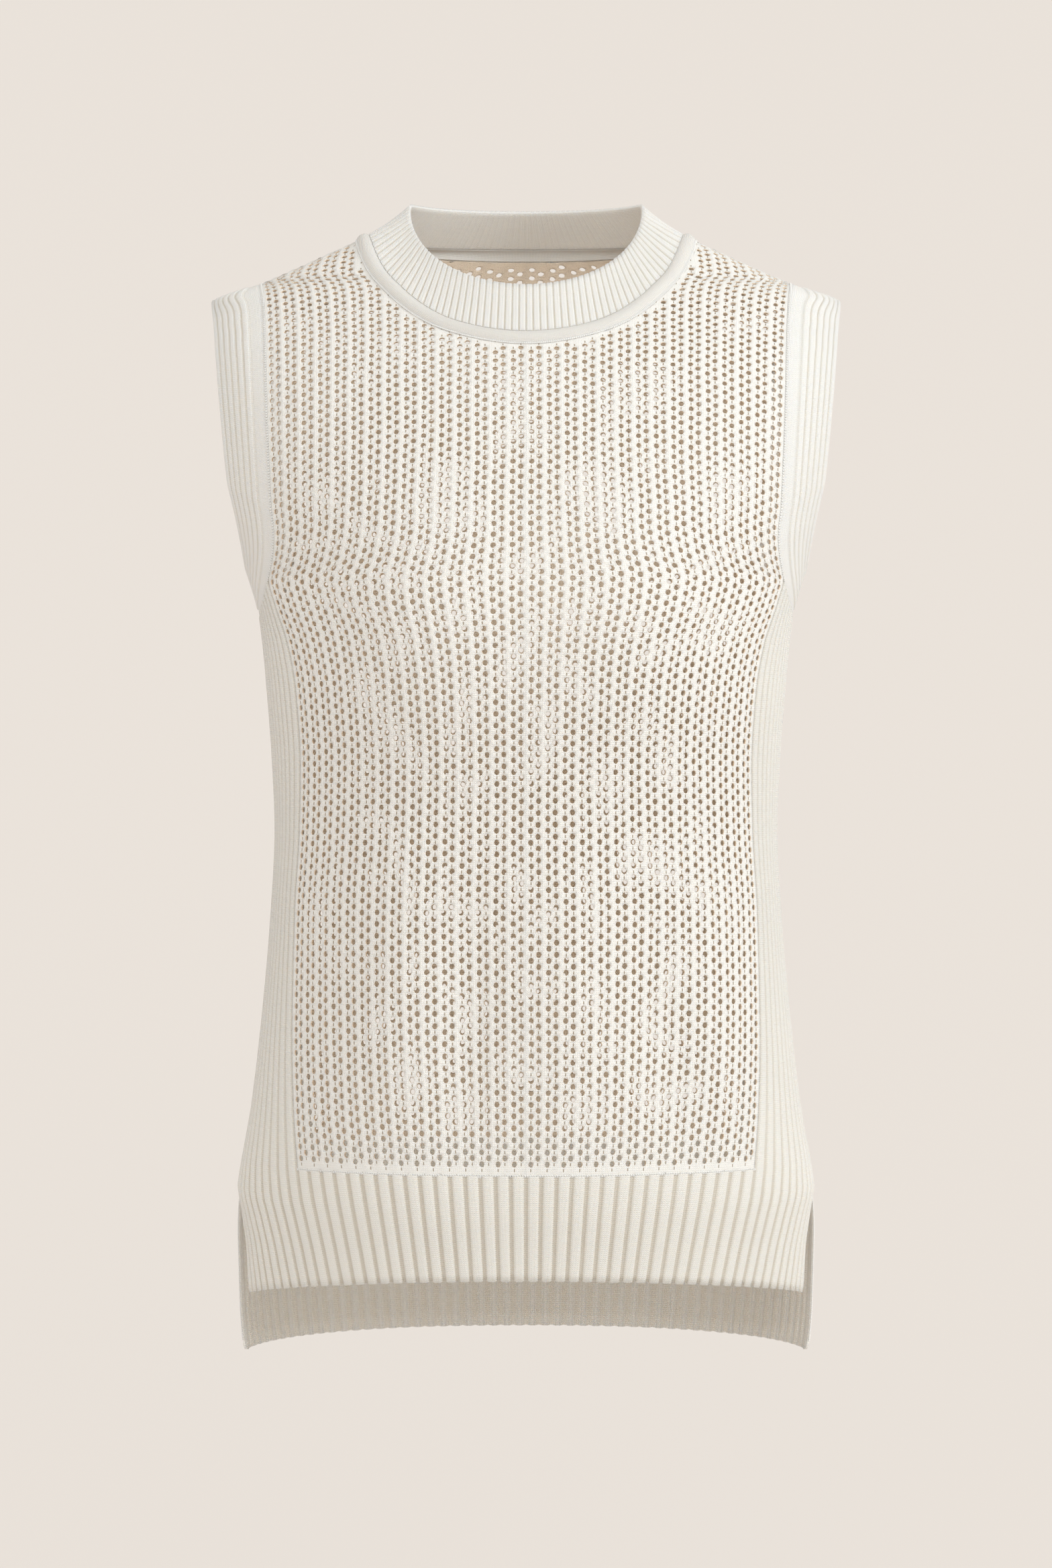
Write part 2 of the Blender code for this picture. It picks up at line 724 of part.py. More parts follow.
def collar(name):
    """A ribbed funnel that stands up from the welt and leans in to its rim."""
    sections = []
    for k, angle in enumerate(even_angles(NECK_SEAM, 2 * COLLAR_RIBS)):
        low, high = collar_base_point(angle), rim_point(angle)
        low = low + (high - low).normalized() * HALF_GAP
        out, foot = rise_direction(collar_base_point, rim_point, angle), base_direction(angle)
        rise = COLLAR_RIB_HEIGHT * (k % 2)
        outer = [
            low + foot * rise,
            low.lerp(high, 0.5) + out * (rise + COLLAR_BELLY),
            high + out * rise,
        ]
        sections.append((outer, [low - foot * RIB_WALL, high - out * RIB_WALL]))
    return loft(name, rib_finish, sections, closed=True)


garment = bpy.data.collections.new("openwork_knit_top")
bpy.context.scene.collection.children.link(garment)

openwork_finish = knit("openwork_knit", (0.84, 0.80, 0.72), 0.9)
rib_finish = knit("rib_knit", (0.85, 0.81, 0.74), 0.88)
welt_finish = knit("plain_knit", (0.87, 0.84, 0.78), 0.85)

for half_name, half_side in HALVES.items():
    openwork(f"{half_name}_openwork", half_side)
    hem(f"hem_rib_{half_name}", half_side)
    for side_name, side_sign in SIDES.items():
        side_ribs(f"side_rib_{half_name}_{side_name}", half_side, side_sign)
for side_name, side_sign in SIDES.items():
    armhole_band(f"arm_rib_{side_name}", side_sign)
neck_welt("neck_welt")
collar("neck_rib")
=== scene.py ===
# %% [markdown]
# # A sleeveless openwork knit top
#
# The real top is machine knitted from a soft cream yarn. Its front and back are nets of small
# eyelets in staggered columns, its sides and hem are ribbed, and its neck is a funnel of fine ribs
# on a smooth tubular welt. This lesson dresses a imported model, made elsewhere, with those knits.
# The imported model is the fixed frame: every piece here is made where its solid already lies.

# %% Load the fixed frame
import json
import math
from collections import namedtuple
from functools import lru_cache

import bmesh
import bpy
import numpy as np
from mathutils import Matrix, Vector

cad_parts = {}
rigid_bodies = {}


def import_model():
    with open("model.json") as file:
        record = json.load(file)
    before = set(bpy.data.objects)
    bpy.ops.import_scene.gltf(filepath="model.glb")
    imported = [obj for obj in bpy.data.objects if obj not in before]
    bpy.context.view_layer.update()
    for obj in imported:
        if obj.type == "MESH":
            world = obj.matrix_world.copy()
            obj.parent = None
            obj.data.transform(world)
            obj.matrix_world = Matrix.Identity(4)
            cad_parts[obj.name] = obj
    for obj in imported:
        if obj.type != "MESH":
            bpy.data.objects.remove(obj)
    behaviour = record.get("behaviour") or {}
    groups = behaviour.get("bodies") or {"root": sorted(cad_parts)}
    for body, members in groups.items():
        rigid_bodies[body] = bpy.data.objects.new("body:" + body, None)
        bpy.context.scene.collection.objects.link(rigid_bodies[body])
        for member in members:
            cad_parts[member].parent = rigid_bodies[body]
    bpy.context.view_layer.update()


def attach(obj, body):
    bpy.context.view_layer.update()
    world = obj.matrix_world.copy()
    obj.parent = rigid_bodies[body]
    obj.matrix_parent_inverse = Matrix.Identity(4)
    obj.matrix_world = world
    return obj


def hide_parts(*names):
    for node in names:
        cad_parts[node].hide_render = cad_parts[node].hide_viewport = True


for leftover in list(bpy.data.objects):
    bpy.data.objects.remove(leftover)
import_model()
MM = 0.001

# %% [markdown]
# ## The body form
#
# A worn knit is a tube of cloth pulled over a body, so all its pieces lie on one smooth form. The
# form could be sculpted, or simulated on a figure. Here it is a stack of ovals read from a short
# table, because every panel can then be placed by the same few functions, and neighbours meet
# exactly. The table is the one that the solids were made from: half width, front depth, back depth
# and squareness at each height, in millimetres.

# %% The body form's table
FRONT, BACK = -1, 1  # the way each half faces along Y
HALVES = {"front": FRONT, "back": BACK}
SIDES = {"left": 1, "right": -1}  # the wearer's left is +X
Section = namedtuple("Section", "height half_width front back squareness")
BODY_FORM = [
    Section(15, 67, 18, 70, 2.00),
    Section(-3, 108, 28, 90, 2.00),
    Section(-30, 168, 46, 97, 1.90),
    Section(-43, 201, 56, 100, 1.90),
    Section(-52, 207, 63, 102, 1.90),
    Section(-63, 212, 71, 103, 1.92),
    Section(-78, 215, 82, 105, 1.98),
    Section(-95, 215, 91, 107, 2.05),
    Section(-120, 211, 102, 110, 2.10),
    Section(-160, 199.5, 114, 112, 2.17),
    Section(-213, 177, 125, 110, 2.20),
    Section(-245, 168.2, 128, 106, 2.23),
    Section(-293, 163.3, 124.5, 99, 2.23),
    Section(-335, 160.3, 118, 93, 2.20),
    Section(-378, 158.7, 114, 89, 2.20),
    Section(-430, 161.3, 114, 91, 2.20),
    Section(-481, 165.5, 116, 97, 2.22),
    Section(-549, 173.2, 119, 107, 2.25),
    Section(-584, 179.2, 120, 111, 2.25),
    Section(-603, 182, 118, 112, 2.25),
    Section(-636, 184.5, 110, 109, 2.25),
    Section(-680, 184, 101, 103, 2.25),
    Section(-720, 181, 98, 98, 2.25),
]
Slit = namedtuple("Slit", "height front_draw front_gap back_gap")
SLITS = [
    Slit(-603, 1.000, 0.15, 0.15),
    Slit(-618, 0.978, 7, 5),
    Slit(-636, 0.963, 14, 9),
    Slit(-668, 0.960, 19, 12),
    Slit(-720, 0.960, 21, 14),
]
HEM_TOP, SLIT_APEX = -584 * MM, -603 * MM
print("sections:", len(BODY_FORM))

# %% [markdown]
# Soft folds come from where the cloth is pulled and where it is slack: hollows run down from the
# armholes, and long ridges and troughs fall to the hem. They are listed one row for each, as bumps
# on the form. A positive depth is a ridge and a negative one a trough.

# %% The folds, and the form as functions
Fold = namedtuple("Fold", "across top bottom width depth lean")
FOLDS = {
    FRONT: [
        Fold(-66, -120, -360, 42, 5.0, 0.05),
        Fold(66, -120, -360, 42, 5.0, -0.05),
        Fold(-128, -180, -290, 15, -4.0, -0.55),
        Fold(128, -180, -290, 15, -3.0, 0.55),
        Fold(-78, -330, -590, 22, 3.5, 0.06),
        Fold(-34, -370, -620, 17, -4.5, 0.05),
        Fold(27, -340, -640, 24, 4.5, 0.02),
        Fold(86, -420, -610, 17, -4.5, -0.08),
        Fold(122, -400, -600, 15, 3.0, -0.05),
    ],
    BACK: [
        Fold(-70, -60, -260, 40, 4.0, 0.05),
        Fold(66, -60, -260, 42, 4.0, -0.05),
        Fold(-4, -120, -420, 20, -5.0, 0.03),
        Fold(-92, -300, -640, 20, -4.0, 0.08),
        Fold(-48, -320, -660, 24, 4.0, 0.05),
        Fold(40, -300, -650, 24, 4.5, -0.03),
        Fold(84, -350, -640, 17, -4.0, -0.10),
    ],
}
FOLDS_END = 150 * MM
SECTION_STEPS = 240
HALF_GAP = 0.15 * MM


class Curve:
    """A table's column as a smooth function of height, with no overshoot between rows."""

    def __init__(self, table, column, scale=MM):
        rows = sorted(table, key=lambda row: row.height)
        self.heights = np.array([row.height * MM for row in rows])
        self.values = np.array([getattr(row, column) * scale for row in rows])
        rises = np.diff(self.values) / np.diff(self.heights)
        before, after = rises[:-1], rises[1:]
        even = before * after > 0
        inner = np.where(even, 2 * before * after / np.where(even, before + after, 1), 0)
        self.slopes = np.concatenate([rises[:1], inner, rises[-1:]])

    def __call__(self, height):
        last = len(self.heights) - 2
        k = np.clip(np.searchsorted(self.heights, height, side="right") - 1, 0, last)
        step = self.heights[k + 1] - self.heights[k]
        t = np.clip((height - self.heights[k]) / step, 0, 1)
        low, high = self.values[k], self.values[k + 1]
        level = low * (1 + 2 * t) * (1 - t) ** 2 + high * t * t * (3 - 2 * t)
        return level + step * t * (1 - t) * (self.slopes[k] * (1 - t) - self.slopes[k + 1] * t)


form_width = Curve(BODY_FORM, "half_width")
form_depth = {FRONT: Curve(BODY_FORM, "front"), BACK: Curve(BODY_FORM, "back")}
form_squareness = Curve(BODY_FORM, "squareness", 1.0)
front_draw = Curve(SLITS, "front_draw", 1.0)
slit_gap = {FRONT: Curve(SLITS, "front_gap"), BACK: Curve(SLITS, "back_gap")}


def oval(half, z):
    """Half width, depth and squareness of one half of the form at heights."""
    draw = np.where(z < SLIT_APEX, front_draw(z), 1.0) if half == FRONT else 1.0
    return form_width(z) * draw, form_depth[half](z), form_squareness(z)


def fold_rise(half, x, z):
    """How far the folds move the cloth outwards at places."""
    total = 0 * (x + z)
    for fold in FOLDS[half]:
        middle, reach = (fold.top + fold.bottom) / 2 * MM, (fold.top - fold.bottom) / 2 * MM
        along = np.clip((z - middle) / reach, -1, 1)
        aside = (x - fold.across * MM - fold.lean * (z - middle)) / (fold.width * MM)
        total = total + fold.depth * MM * np.cos(np.pi * along / 2) ** 2 * np.exp(-aside * aside)
    return total * np.maximum(0, 1 - (np.abs(x) / FOLDS_END) ** 6)


def form_value(half, points):
    """Zero on the form, positive outside it."""
    width, depth, n = oval(half, points[..., 2])
    out = np.abs(points[..., 1]) - fold_rise(half, points[..., 0], points[..., 2])
    return (np.abs(points[..., 0]) / width) ** n + (np.maximum(out, 0) / depth) ** n - 1


def unit(vectors):
    return vectors / np.maximum(np.linalg.norm(vectors, axis=-1, keepdims=True), 1e-12)


def outwards(half, points):
    """The form's outward directions at points on it."""
    steps = 0.1 * MM * np.eye(3)
    slopes = [form_value(half, points + step) - form_value(half, points - step) for step in steps]
    return unit(np.stack(slopes, axis=-1))


print("waist half width:", round(float(form_width(-0.378)), 4))

# %% [markdown]
# Knitted cloth is measured along itself, not straight across, so the next functions give lengths
# round one oval of the form, from the centre line out, and points at such lengths.

# %% Lengths along the form
def side_of(value):
    return -1 if value < 0 else 1


def stop_at(half, z):
    """How far from the side line a half ends: half a seam, or half the open slit."""
    return float(slit_gap[half](z)) if z < SLIT_APEX else HALF_GAP


@lru_cache(maxsize=None)
def section(half, side, z, stop):
    """A quarter oval from the centre line towards the side, with the length so far."""
    width, depth, n = oval(half, z)
    last = math.acos(min((stop / depth) ** (n / 2), 1.0))
    angle = np.linspace(0, last, SECTION_STEPS + 1)
    x = side * width * np.sin(angle) ** (2 / n)
    y = half * (depth * np.cos(angle) ** (2 / n) + fold_rise(half, x, z))
    return x, y, np.concatenate([[0.0], np.cumsum(np.hypot(np.diff(x), np.diff(y)))])


def section_length(half, side, z, stop=None):
    return section(half, side, z, stop_at(half, z) if stop is None else stop)[2][-1]


def along_section(half, z, lengths, stop=None):
    """Points of a half oval at signed lengths from the centre line."""
    lengths = np.atleast_1d(lengths)
    stop = stop_at(half, z) if stop is None else stop
    points = np.full((len(lengths), 3), z, float)
    for side in (-1, 1):
        x, y, own = section(half, side, z, stop)
        here = (lengths < 0) == (side < 0)
        points[here, 0] = np.interp(np.abs(lengths[here]), own, x)
        points[here, 1] = np.interp(np.abs(lengths[here]), own, y)
    return points


def length_to(half, x, z):
    """Length along a half oval from the centre line to a place across it."""
    line_x, _, own = section(half, side_of(x), z, 0.0)
    return float(np.interp(abs(x), np.abs(line_x), own))


def roots(function, low, high):
    """The places between low and high where a function changes sign."""
    low, high = np.array(low, float), np.array(high, float)
    sign = function(low) > 0
    for _ in range(45):
        middle = (low + high) / 2
        same = (function(middle) > 0) == sign
        low, high = np.where(same, middle, low), np.where(same, high, middle)
    return (low + high) / 2


def crest_height(x):
    """Height of the shoulder line at places across it."""
    low, high = np.full(np.shape(x), -45 * MM), np.full(np.shape(x), 15 * MM)
    return roots(lambda z: form_width(z) - x, low, high)


hem_round = 2 * sum(section_length(half, 1, HEM_TOP) for half in (FRONT, BACK))
print("hem, right round:", round(hem_round, 3), "m")

# %% [markdown]
# ## Where the pieces meet
#
# The armhole bands, the openwork panels, the side panels and the hems meet along lines on the form.
# The lines could be drawn on the mesh, but a table of heights and distances from the centre line
# says the same in a few rows, and both neighbours read it.

# %% Seam lines
Line = namedtuple("Line", "height across")
BAND_SEAM = [
    Line(-30, 168),
    Line(-45, 165),
    Line(-80, 162),
    Line(-113, 160.3),
    Line(-155, 158.2),
    Line(-180, 157),
]
BAND_EDGE = [
    Line(-42, 199.4),
    Line(-52, 198.2),
    Line(-62, 196.7),
    Line(-105, 191.9),
    Line(-148, 187.5),
    Line(-160, 186.2),
]
MESH_EDGE = [
    Line(-240, 154.5),
    Line(-262, 147),
    Line(-290, 142),
    Line(-335, 139.5),
    Line(-378, 140.5),
    Line(-430, 143.5),
    Line(-500, 144.5),
    Line(-549, 143),
    Line(-584, 140),
]
MESH_LEAVES_ARMHOLE = -222 * MM
band_line = {"seam": Curve(BAND_SEAM, "across"), "edge": Curve(BAND_EDGE, "across")}
band_bottom = {"seam": -245 * MM, "edge": -213 * MM}
band_bend = {"seam": BAND_SEAM[-1].height * MM, "edge": BAND_EDGE[-1].height * MM}
band_crest = {"seam": BAND_SEAM[0].across * MM, "edge": BAND_EDGE[0].across * MM}
seam_crest = float(crest_height(band_crest["seam"]))


def width_at(half, y, z):
    """X of the form near its side, at distances in front of or behind the side line."""
    width, depth, n = oval(half, z)
    return width * (1 - np.minimum(np.abs(y) / depth, 1.0) ** n) ** (1 / n)


def depth_at(half, x, z):
    width, depth, n = oval(half, z)
    own = depth * (1 - np.minimum(np.abs(x) / width, 1.0) ** n) ** (1 / n)
    return half * (own + fold_rise(half, x, z))


def band_point(line, half, z):
    """Points of the armhole's seam or edge on one half, at heights."""
    z = np.asarray(z, float)
    bend, bottom = band_bend[line], band_bottom[line]
    x = np.minimum(band_line[line](z), form_width(z))
    high = np.stack([x, depth_at(half, x, z), z], axis=-1)
    start = abs(float(depth_at(half, band_line[line](bend), bend)))
    y = half * start * np.sqrt(np.clip(1 - ((z - bend) / (bottom - bend)) ** 2, 0, 1))
    low = np.stack([width_at(half, y, z), y, z], axis=-1)
    return np.where((z >= bend)[..., None], high, low)


@lru_cache(maxsize=None)
def free_edge(half):
    """The openwork's edge below the armhole, which starts where it leaves the band's seam."""
    start = band_point("seam", half, MESH_LEAVES_ARMHOLE)
    return Curve([Line(start[2] / MM, start[0] / MM)] + MESH_EDGE, "across")


@lru_cache(maxsize=None)
def mesh_edge_length(half, side, z):
    """Length from the centre line to the edge of the openwork panel."""
    if z >= seam_crest:
        return section_length(half, side, seam_crest, 0.0)
    if z >= MESH_LEAVES_ARMHOLE:
        return length_to(half, side * float(band_point("seam", half, z)[0]), z)
    return length_to(half, side * float(free_edge(half)(z)), z)


print("half width of the net at the waist:", round(mesh_edge_length(FRONT, 1, -0.378), 4), "m")

# %% [markdown]
# ## Tools for meshes and node trees
#
# Most pieces here start as a grid of points: rows up the garment, columns across it. The grid
# carries a UV map that is the cloth laid flat, in metres, so that stitches keep their size wherever
# the cloth curves, and an attribute that says which way is out. Geometry Nodes then raise ribs on
# it, or lay eyelets and stitches along it.

# %% Mesh helpers
WELD = 0.01 * MM
CRISP = math.radians(68)


def in_scene(name, data):
    made = bpy.data.objects.new(name, data)
    bpy.context.scene.collection.objects.link(made)
    return made


def sheet_mesh(name, *grids):
    """A sheet from grids of points, with its flat map and values; touching grids are joined."""
    blocks, total = [], 0
    for points, *_ in grids:
        index = np.arange(points[..., 0].size).reshape(points.shape[:2]) + total
        total += index.size
        around = index[:-1, :-1], index[:-1, 1:], index[1:, 1:], index[1:, :-1]
        blocks.append(np.stack(around, axis=-1).reshape(-1, 4))
    faces = np.concatenate(blocks)
    points, flat, out = (
        np.concatenate([grid[k].reshape(-1, grid[k].shape[-1]) for grid in grids]) for k in range(3)
    )
    corners = points[faces]
    facing = np.cross(corners[:, 2] - corners[:, 0], corners[:, 3] - corners[:, 1])
    inwards = (facing * out[faces[:, 0]]).sum(axis=1) < 0
    faces[inwards] = faces[inwards, ::-1]
    mesh = bpy.data.meshes.new(name)
    mesh.from_pydata(points.tolist(), [], faces.tolist())
    flat_layer = mesh.uv_layers.new(name="flat").data
    flat_layer.foreach_set("uv", flat[faces.ravel()].astype(np.float32).ravel())
    keep_vectors(mesh, "out", out)
    for key in grids[0][3]:
        numbers = [np.broadcast_to(grid[3][key], grid[0].shape[:2]).ravel() for grid in grids]
        keep_numbers(mesh, key, np.concatenate(numbers))
    shape = bmesh.new()
    shape.from_mesh(mesh)
    bmesh.ops.remove_doubles(shape, verts=shape.verts, dist=WELD)
    shape.to_mesh(mesh)
    shape.free()
    mesh.shade_smooth()
    return in_scene(name, mesh)


def keep_vectors(mesh, name, vectors):
    attribute = mesh.attributes.new(name, "FLOAT_VECTOR", "POINT")
    attribute.data.foreach_set("vector", np.asarray(vectors, np.float32).ravel())


def keep_numbers(mesh, name, numbers):
    attribute = mesh.attributes.new(name, "FLOAT", "POINT")
    attribute.data.foreach_set("value", np.asarray(numbers, np.float32).ravel())


def read(items, name, width=1, kind=np.float32):
    """One value of every vertex, edge, face or corner of a mesh, as an array."""
    values = np.empty(len(items) * width, kind)
    items.foreach_get(name, values)
    return values.reshape(-1, width) if width > 1 else values


def triangles(piece):
    return sum(len(face.vertices) - 2 for face in piece.data.polygons)


def crisp_edges(mesh):
    """Cut edges that meet a neighbour shade crisply; eyelets and free edges stay round."""
    mesh.set_sharp_from_angle(angle=CRISP)
    rim = read(mesh.attributes["rim"].data, "value")[read(mesh.edges, "vertices", 2, np.int32)]
    sharp = read(mesh.attributes["sharp_edge"].data, "value", kind=bool) & (rim.min(axis=1) < 0.5)
    mesh.attributes["sharp_edge"].data.foreach_set("value", sharp)
    mesh.update()


def fill_inside(mesh, height, thickness):
    """Flattens the inner face of a ribbed wall, whose ridges are two layers thick."""
    points, outer = read(mesh.vertices, "co", 3), len(mesh.vertices) // 2
    out = read(mesh.attributes["out"].data, "vector", 3)[:outer]
    groove = read(mesh.attributes["groove"].data, "value")[:outer, None]
    points[outer:] = points[:outer] - (thickness + height * (1 - groove)) * out
    mesh.vertices.foreach_set("co", points.ravel())


print("mesh helpers ready")

# %% [markdown]
# A node tree is easier to read as sums than as boxes and wires. The class below wraps a socket, so
# that a plus or a minus between two of them adds the node that does it.

# %% Node helpers
class Value:
    """What a node gives: numbers can be summed, multiplied and compared as usual."""

    def __init__(self, socket):
        self.socket = socket

    def __add__(self, other):
        return maths("ADD", self, other)

    def __sub__(self, other):
        return maths("SUBTRACT", self, other)

    def __rsub__(self, other):
        return maths("SUBTRACT", other, self)

    def __mul__(self, other):
        return maths("MULTIPLY", self, other)

    def __truediv__(self, other):
        return maths("DIVIDE", self, other)

    def __gt__(self, other):
        return maths("GREATER_THAN", self, other)

    def __lt__(self, other):
        return maths("LESS_THAN", self, other)

    def __abs__(self):
        return maths("ABSOLUTE", self)


def node(tree, kind, inputs=(), **settings):
    """A node with its settings, and with each input linked or set to a value."""
    made = tree.nodes.new(kind)
    for key, value in settings.items():
        setattr(made, key, value)
    for key, value in dict(inputs).items():
        if isinstance(value, Value):
            tree.links.new(value.socket, made.inputs[key])
        else:
            made.inputs[key].default_value = value
    return made


def given_by(tree, kind, inputs=(), output=0, **settings):
    return Value(node(tree, kind, inputs, **settings).outputs[output])


def tree_of(*values):
    return next(value.socket.id_data for value in values if isinstance(value, Value))


def maths(operation, *values):
    inputs = dict(enumerate(values))
    return given_by(tree_of(*values), "ShaderNodeMath", inputs, operation=operation)


def vector_maths(operation, *values, **named):
    inputs = {**dict(enumerate(values)), **named}
    result = "Value" if operation == "DOT_PRODUCT" else "Vector"
    tree = tree_of(*values)
    return given_by(tree, "ShaderNodeVectorMath", inputs, result, operation=operation)


def smooth_step(value, low, high):
    inputs = {0: value, 1: low, 2: high}
    kind = "ShaderNodeMapRange"
    return given_by(tree_of(value), kind, inputs, interpolation_type="SMOOTHSTEP")


def stored(tree, name, kind="FLOAT"):
    return given_by(tree, "GeometryNodeInputNamedAttribute", {"Name": name}, data_type=kind)


def store(geometry, name, value, kind="FLOAT", domain="POINT"):
    inputs = {"Geometry": geometry, "Name": name, "Value": value}
    settings = {"data_type": kind, "domain": domain}
    return given_by(tree_of(geometry), "GeometryNodeStoreNamedAttribute", inputs, **settings)


SOCKETS = {float: "NodeSocketFloat", int: "NodeSocketInt", bpy.types.Object: "NodeSocketObject"}


def new_tree(name, **inputs):
    """A Geometry Nodes tree with named inputs, and the values that they give."""
    tree = bpy.data.node_groups.new(name, "GeometryNodeTree")
    cloth = {"socket_type": "NodeSocketGeometry"}
    tree.interface.new_socket("Geometry", in_out="INPUT", **cloth)
    for label, value in inputs.items():
        kind = SOCKETS.get(value if isinstance(value, type) else type(value), "NodeSocketMaterial")
        label = label.replace("_", " ")
        socket = tree.interface.new_socket(label, in_out="INPUT", socket_type=kind)
        if not isinstance(value, type):
            socket.default_value = value
    tree.interface.new_socket("Geometry", in_out="OUTPUT", **cloth)
    given = tree.nodes.new("NodeGroupInput").outputs
    return tree, {socket.name: Value(socket) for socket in given if socket.name}


def end_tree(tree, geometry, material):
    """Every tree ends in plain geometry with its finish on it."""
    real = given_by(tree, "GeometryNodeRealizeInstances", {0: geometry})
    soft = given_by(tree, "GeometryNodeSetShadeSmooth", {0: real})
    dressed = {"Geometry": soft, "Material": material}
    node(tree, "NodeGroupOutput", {0: given_by(tree, "GeometryNodeSetMaterial", dressed)})


def run_tree(base, tree, name, thickness=0.0, inside=0.0, **inputs):
    """Runs a tree on an object, gives the sheet its thickness, and keeps the result as a mesh."""
    nodes = base.modifiers.new("nodes", "NODES")
    nodes.node_group = tree
    names = {socket.name: socket.identifier for socket in tree.interface.items_tree}
    for label, value in inputs.items():
        nodes[names[label.replace("_", " ")]] = value
    if thickness:
        wall = base.modifiers.new("wall", "SOLIDIFY")
        wall.thickness, wall.offset = thickness, -1
    base.update_tag()
    ready = base.evaluated_get(bpy.context.evaluated_depsgraph_get())
    mesh = bpy.data.meshes.new_from_object(ready)
    mesh.name = name
    if inside:
        fill_inside(mesh, inside, thickness)
    if thickness:
        crisp_edges(mesh)
    made = in_scene(name, mesh)
    base.modifiers.clear()
    bpy.data.objects.remove(base)
    return made
print("node helpers ready")

# %% [markdown]
# ## The eyelet net
#
# The front and back are nets of round eyelets. The columns stand in pairs, each one half a row
# away from its neighbour, with a braided wale between the pairs. Cutting thousands of holes with
# Booleans would be slow and ragged. Instead Geometry Nodes lay small tiles, each with a hole in it
# already, side by side on the flat panel, and then carry every point from the flat panel to the
# worn one. Tiles too near a seam are plain, as a knitter leaves them.

# %% Where the columns of the net end
Round = namedtuple("Round", "half_width front back")
NECK_SEAM = Round(108, 82, 90)
NECK_COLUMNS, SHOULDER_COLUMNS = 36, 16
FREE_ROW = -130 * MM
NET_ROWS, YOKE_ROWS = 92, 30


def neck_plan(curve, angle, grow=0.0):
    """X and Y of a curve round the neck, at angles from the front centre."""
    ahead = np.cos(angle)
    depth = np.where(ahead > 0, curve.front, curve.back)
    return (curve.half_width * MM + grow) * np.sin(angle), -(depth * MM + grow) * ahead


def either_half(function, points, *rest):
    """A value of the front half for points in front, and of the back half for the others."""
    front, back = function(FRONT, points, *rest), function(BACK, points, *rest)
    choose = points[..., 1] < 0
    return np.where(choose if front.ndim == choose.ndim else choose[..., None], front, back)


def neck_seam(angle, grow=0.0):
    """Points of the seam between the body and the neck's welt, on the form."""
    x, y = neck_plan(NECK_SEAM, angle, grow)
    low, high = np.full(np.shape(x), -120 * MM), np.full(np.shape(x), 14 * MM)
    z = roots(lambda z: either_half(form_value, np.stack([x, y, z], axis=-1)), low, high)
    return np.stack([x, y, z], axis=-1)


def column_tops(half):
    """Where columns of an openwork half end: shares of its width, and heights."""
    turn = np.linspace(0, math.pi / 2, NECK_COLUMNS + 1)
    tops = []
    for x, _, z in neck_seam(turn if half == FRONT else math.pi - turn):
        tops.append((length_to(half, x, z) / mesh_edge_length(half, 1, z), z))
    inner, outer = NECK_SEAM.half_width * MM, band_crest["seam"]
    for x in np.linspace(inner, outer, SHOULDER_COLUMNS + 1)[1:]:
        z = float(crest_height(x))
        tops.append((min(section_length(half, 1, z) / mesh_edge_length(half, 1, z), 1.0), z))
    return [(-share, z) for share, z in tops[:0:-1]] + tops


def net_points(half):
    """The worn panel as a grid: rows up the garment, columns across it."""
    rows = np.concatenate([
        np.linspace(HEM_TOP, FREE_ROW, NET_ROWS),
        np.linspace(FREE_ROW, seam_crest, YOKE_ROWS)[1:],
    ])
    tops = column_tops(half)
    points = np.zeros((len(rows), len(tops), 3))
    for i, row in enumerate(rows):
        rise = max(row - FREE_ROW, 0.0) / (seam_crest - FREE_ROW)
        for j, (share, top) in enumerate(tops):
            z = float(FREE_ROW + rise * (top - FREE_ROW)) if rise else float(row)
            length = share * mesh_edge_length(half, side_of(share), z)
            points[i, j] = along_section(half, z, length, HALF_GAP)[0]
    return points, np.array([share for share, _ in tops])


print("columns of the front's grid:", len(column_tops(FRONT)))

# %% [markdown]
# The same panel also lies flat, as it comes off the machine: straight columns an even pitch apart.
# The rows are stretched a little where the top is worn loose and tightened towards the shoulders,
# because the photo shows them so.

# %% The panel laid flat
PAIRS = 30  # pairs of eyelet columns across a panel
PAIR_PITCH = 10.69 * MM
ROW_PITCH, FIRST_ROW = 6.7 * MM, 6.6 * MM
NET_MARGIN = 1.0 * MM  # plain cloth between the last pair and the seam
TILES_BEYOND = 6 * MM  # plain tiles reach past the panel's edge, and are drawn back to it
NET_HALF_WIDTH = PAIRS / 2 * PAIR_PITCH + NET_MARGIN
ROWS_STRETCH, ROWS_TIGHTEN = 0.93, 0.34  # rows are stretched over most of the front, tight on top


def flat_net(name, half):
    """The panel as it lies flat, keeping where each point goes when it is worn."""
    worn, shares = net_points(half)
    steps = np.linalg.norm(np.diff(worn, axis=0), axis=-1)
    climbed = np.concatenate([np.zeros((1, len(shares))), np.cumsum(steps, axis=0)])
    v = climbed * (ROWS_STRETCH + ROWS_TIGHTEN * climbed**3)
    u = np.broadcast_to(-half * shares * NET_HALF_WIDTH, v.shape)
    flat = np.stack([u, v], axis=-1)
    level = np.stack([u, v, 0 * u], axis=-1)
    up = np.zeros_like(worn) + [0, 0, 1]
    panel = sheet_mesh(name, (level, flat, up, {}))
    keep_vectors(panel.data, "worn", worn.reshape(-1, 3))
    away = outwards(half, worn).astype(np.float32)
    panel.data.attributes["out"].data.foreach_set("vector", away.ravel())
    return panel


print("flat panel:", round(2 * NET_HALF_WIDTH, 3), "m wide")

# %% [markdown]
# A tile is one eyelet with the cloth round it, low at its rim and raised where it meets the braided
# wale. There are four: the first and second column of a pair, each with its hole or without.


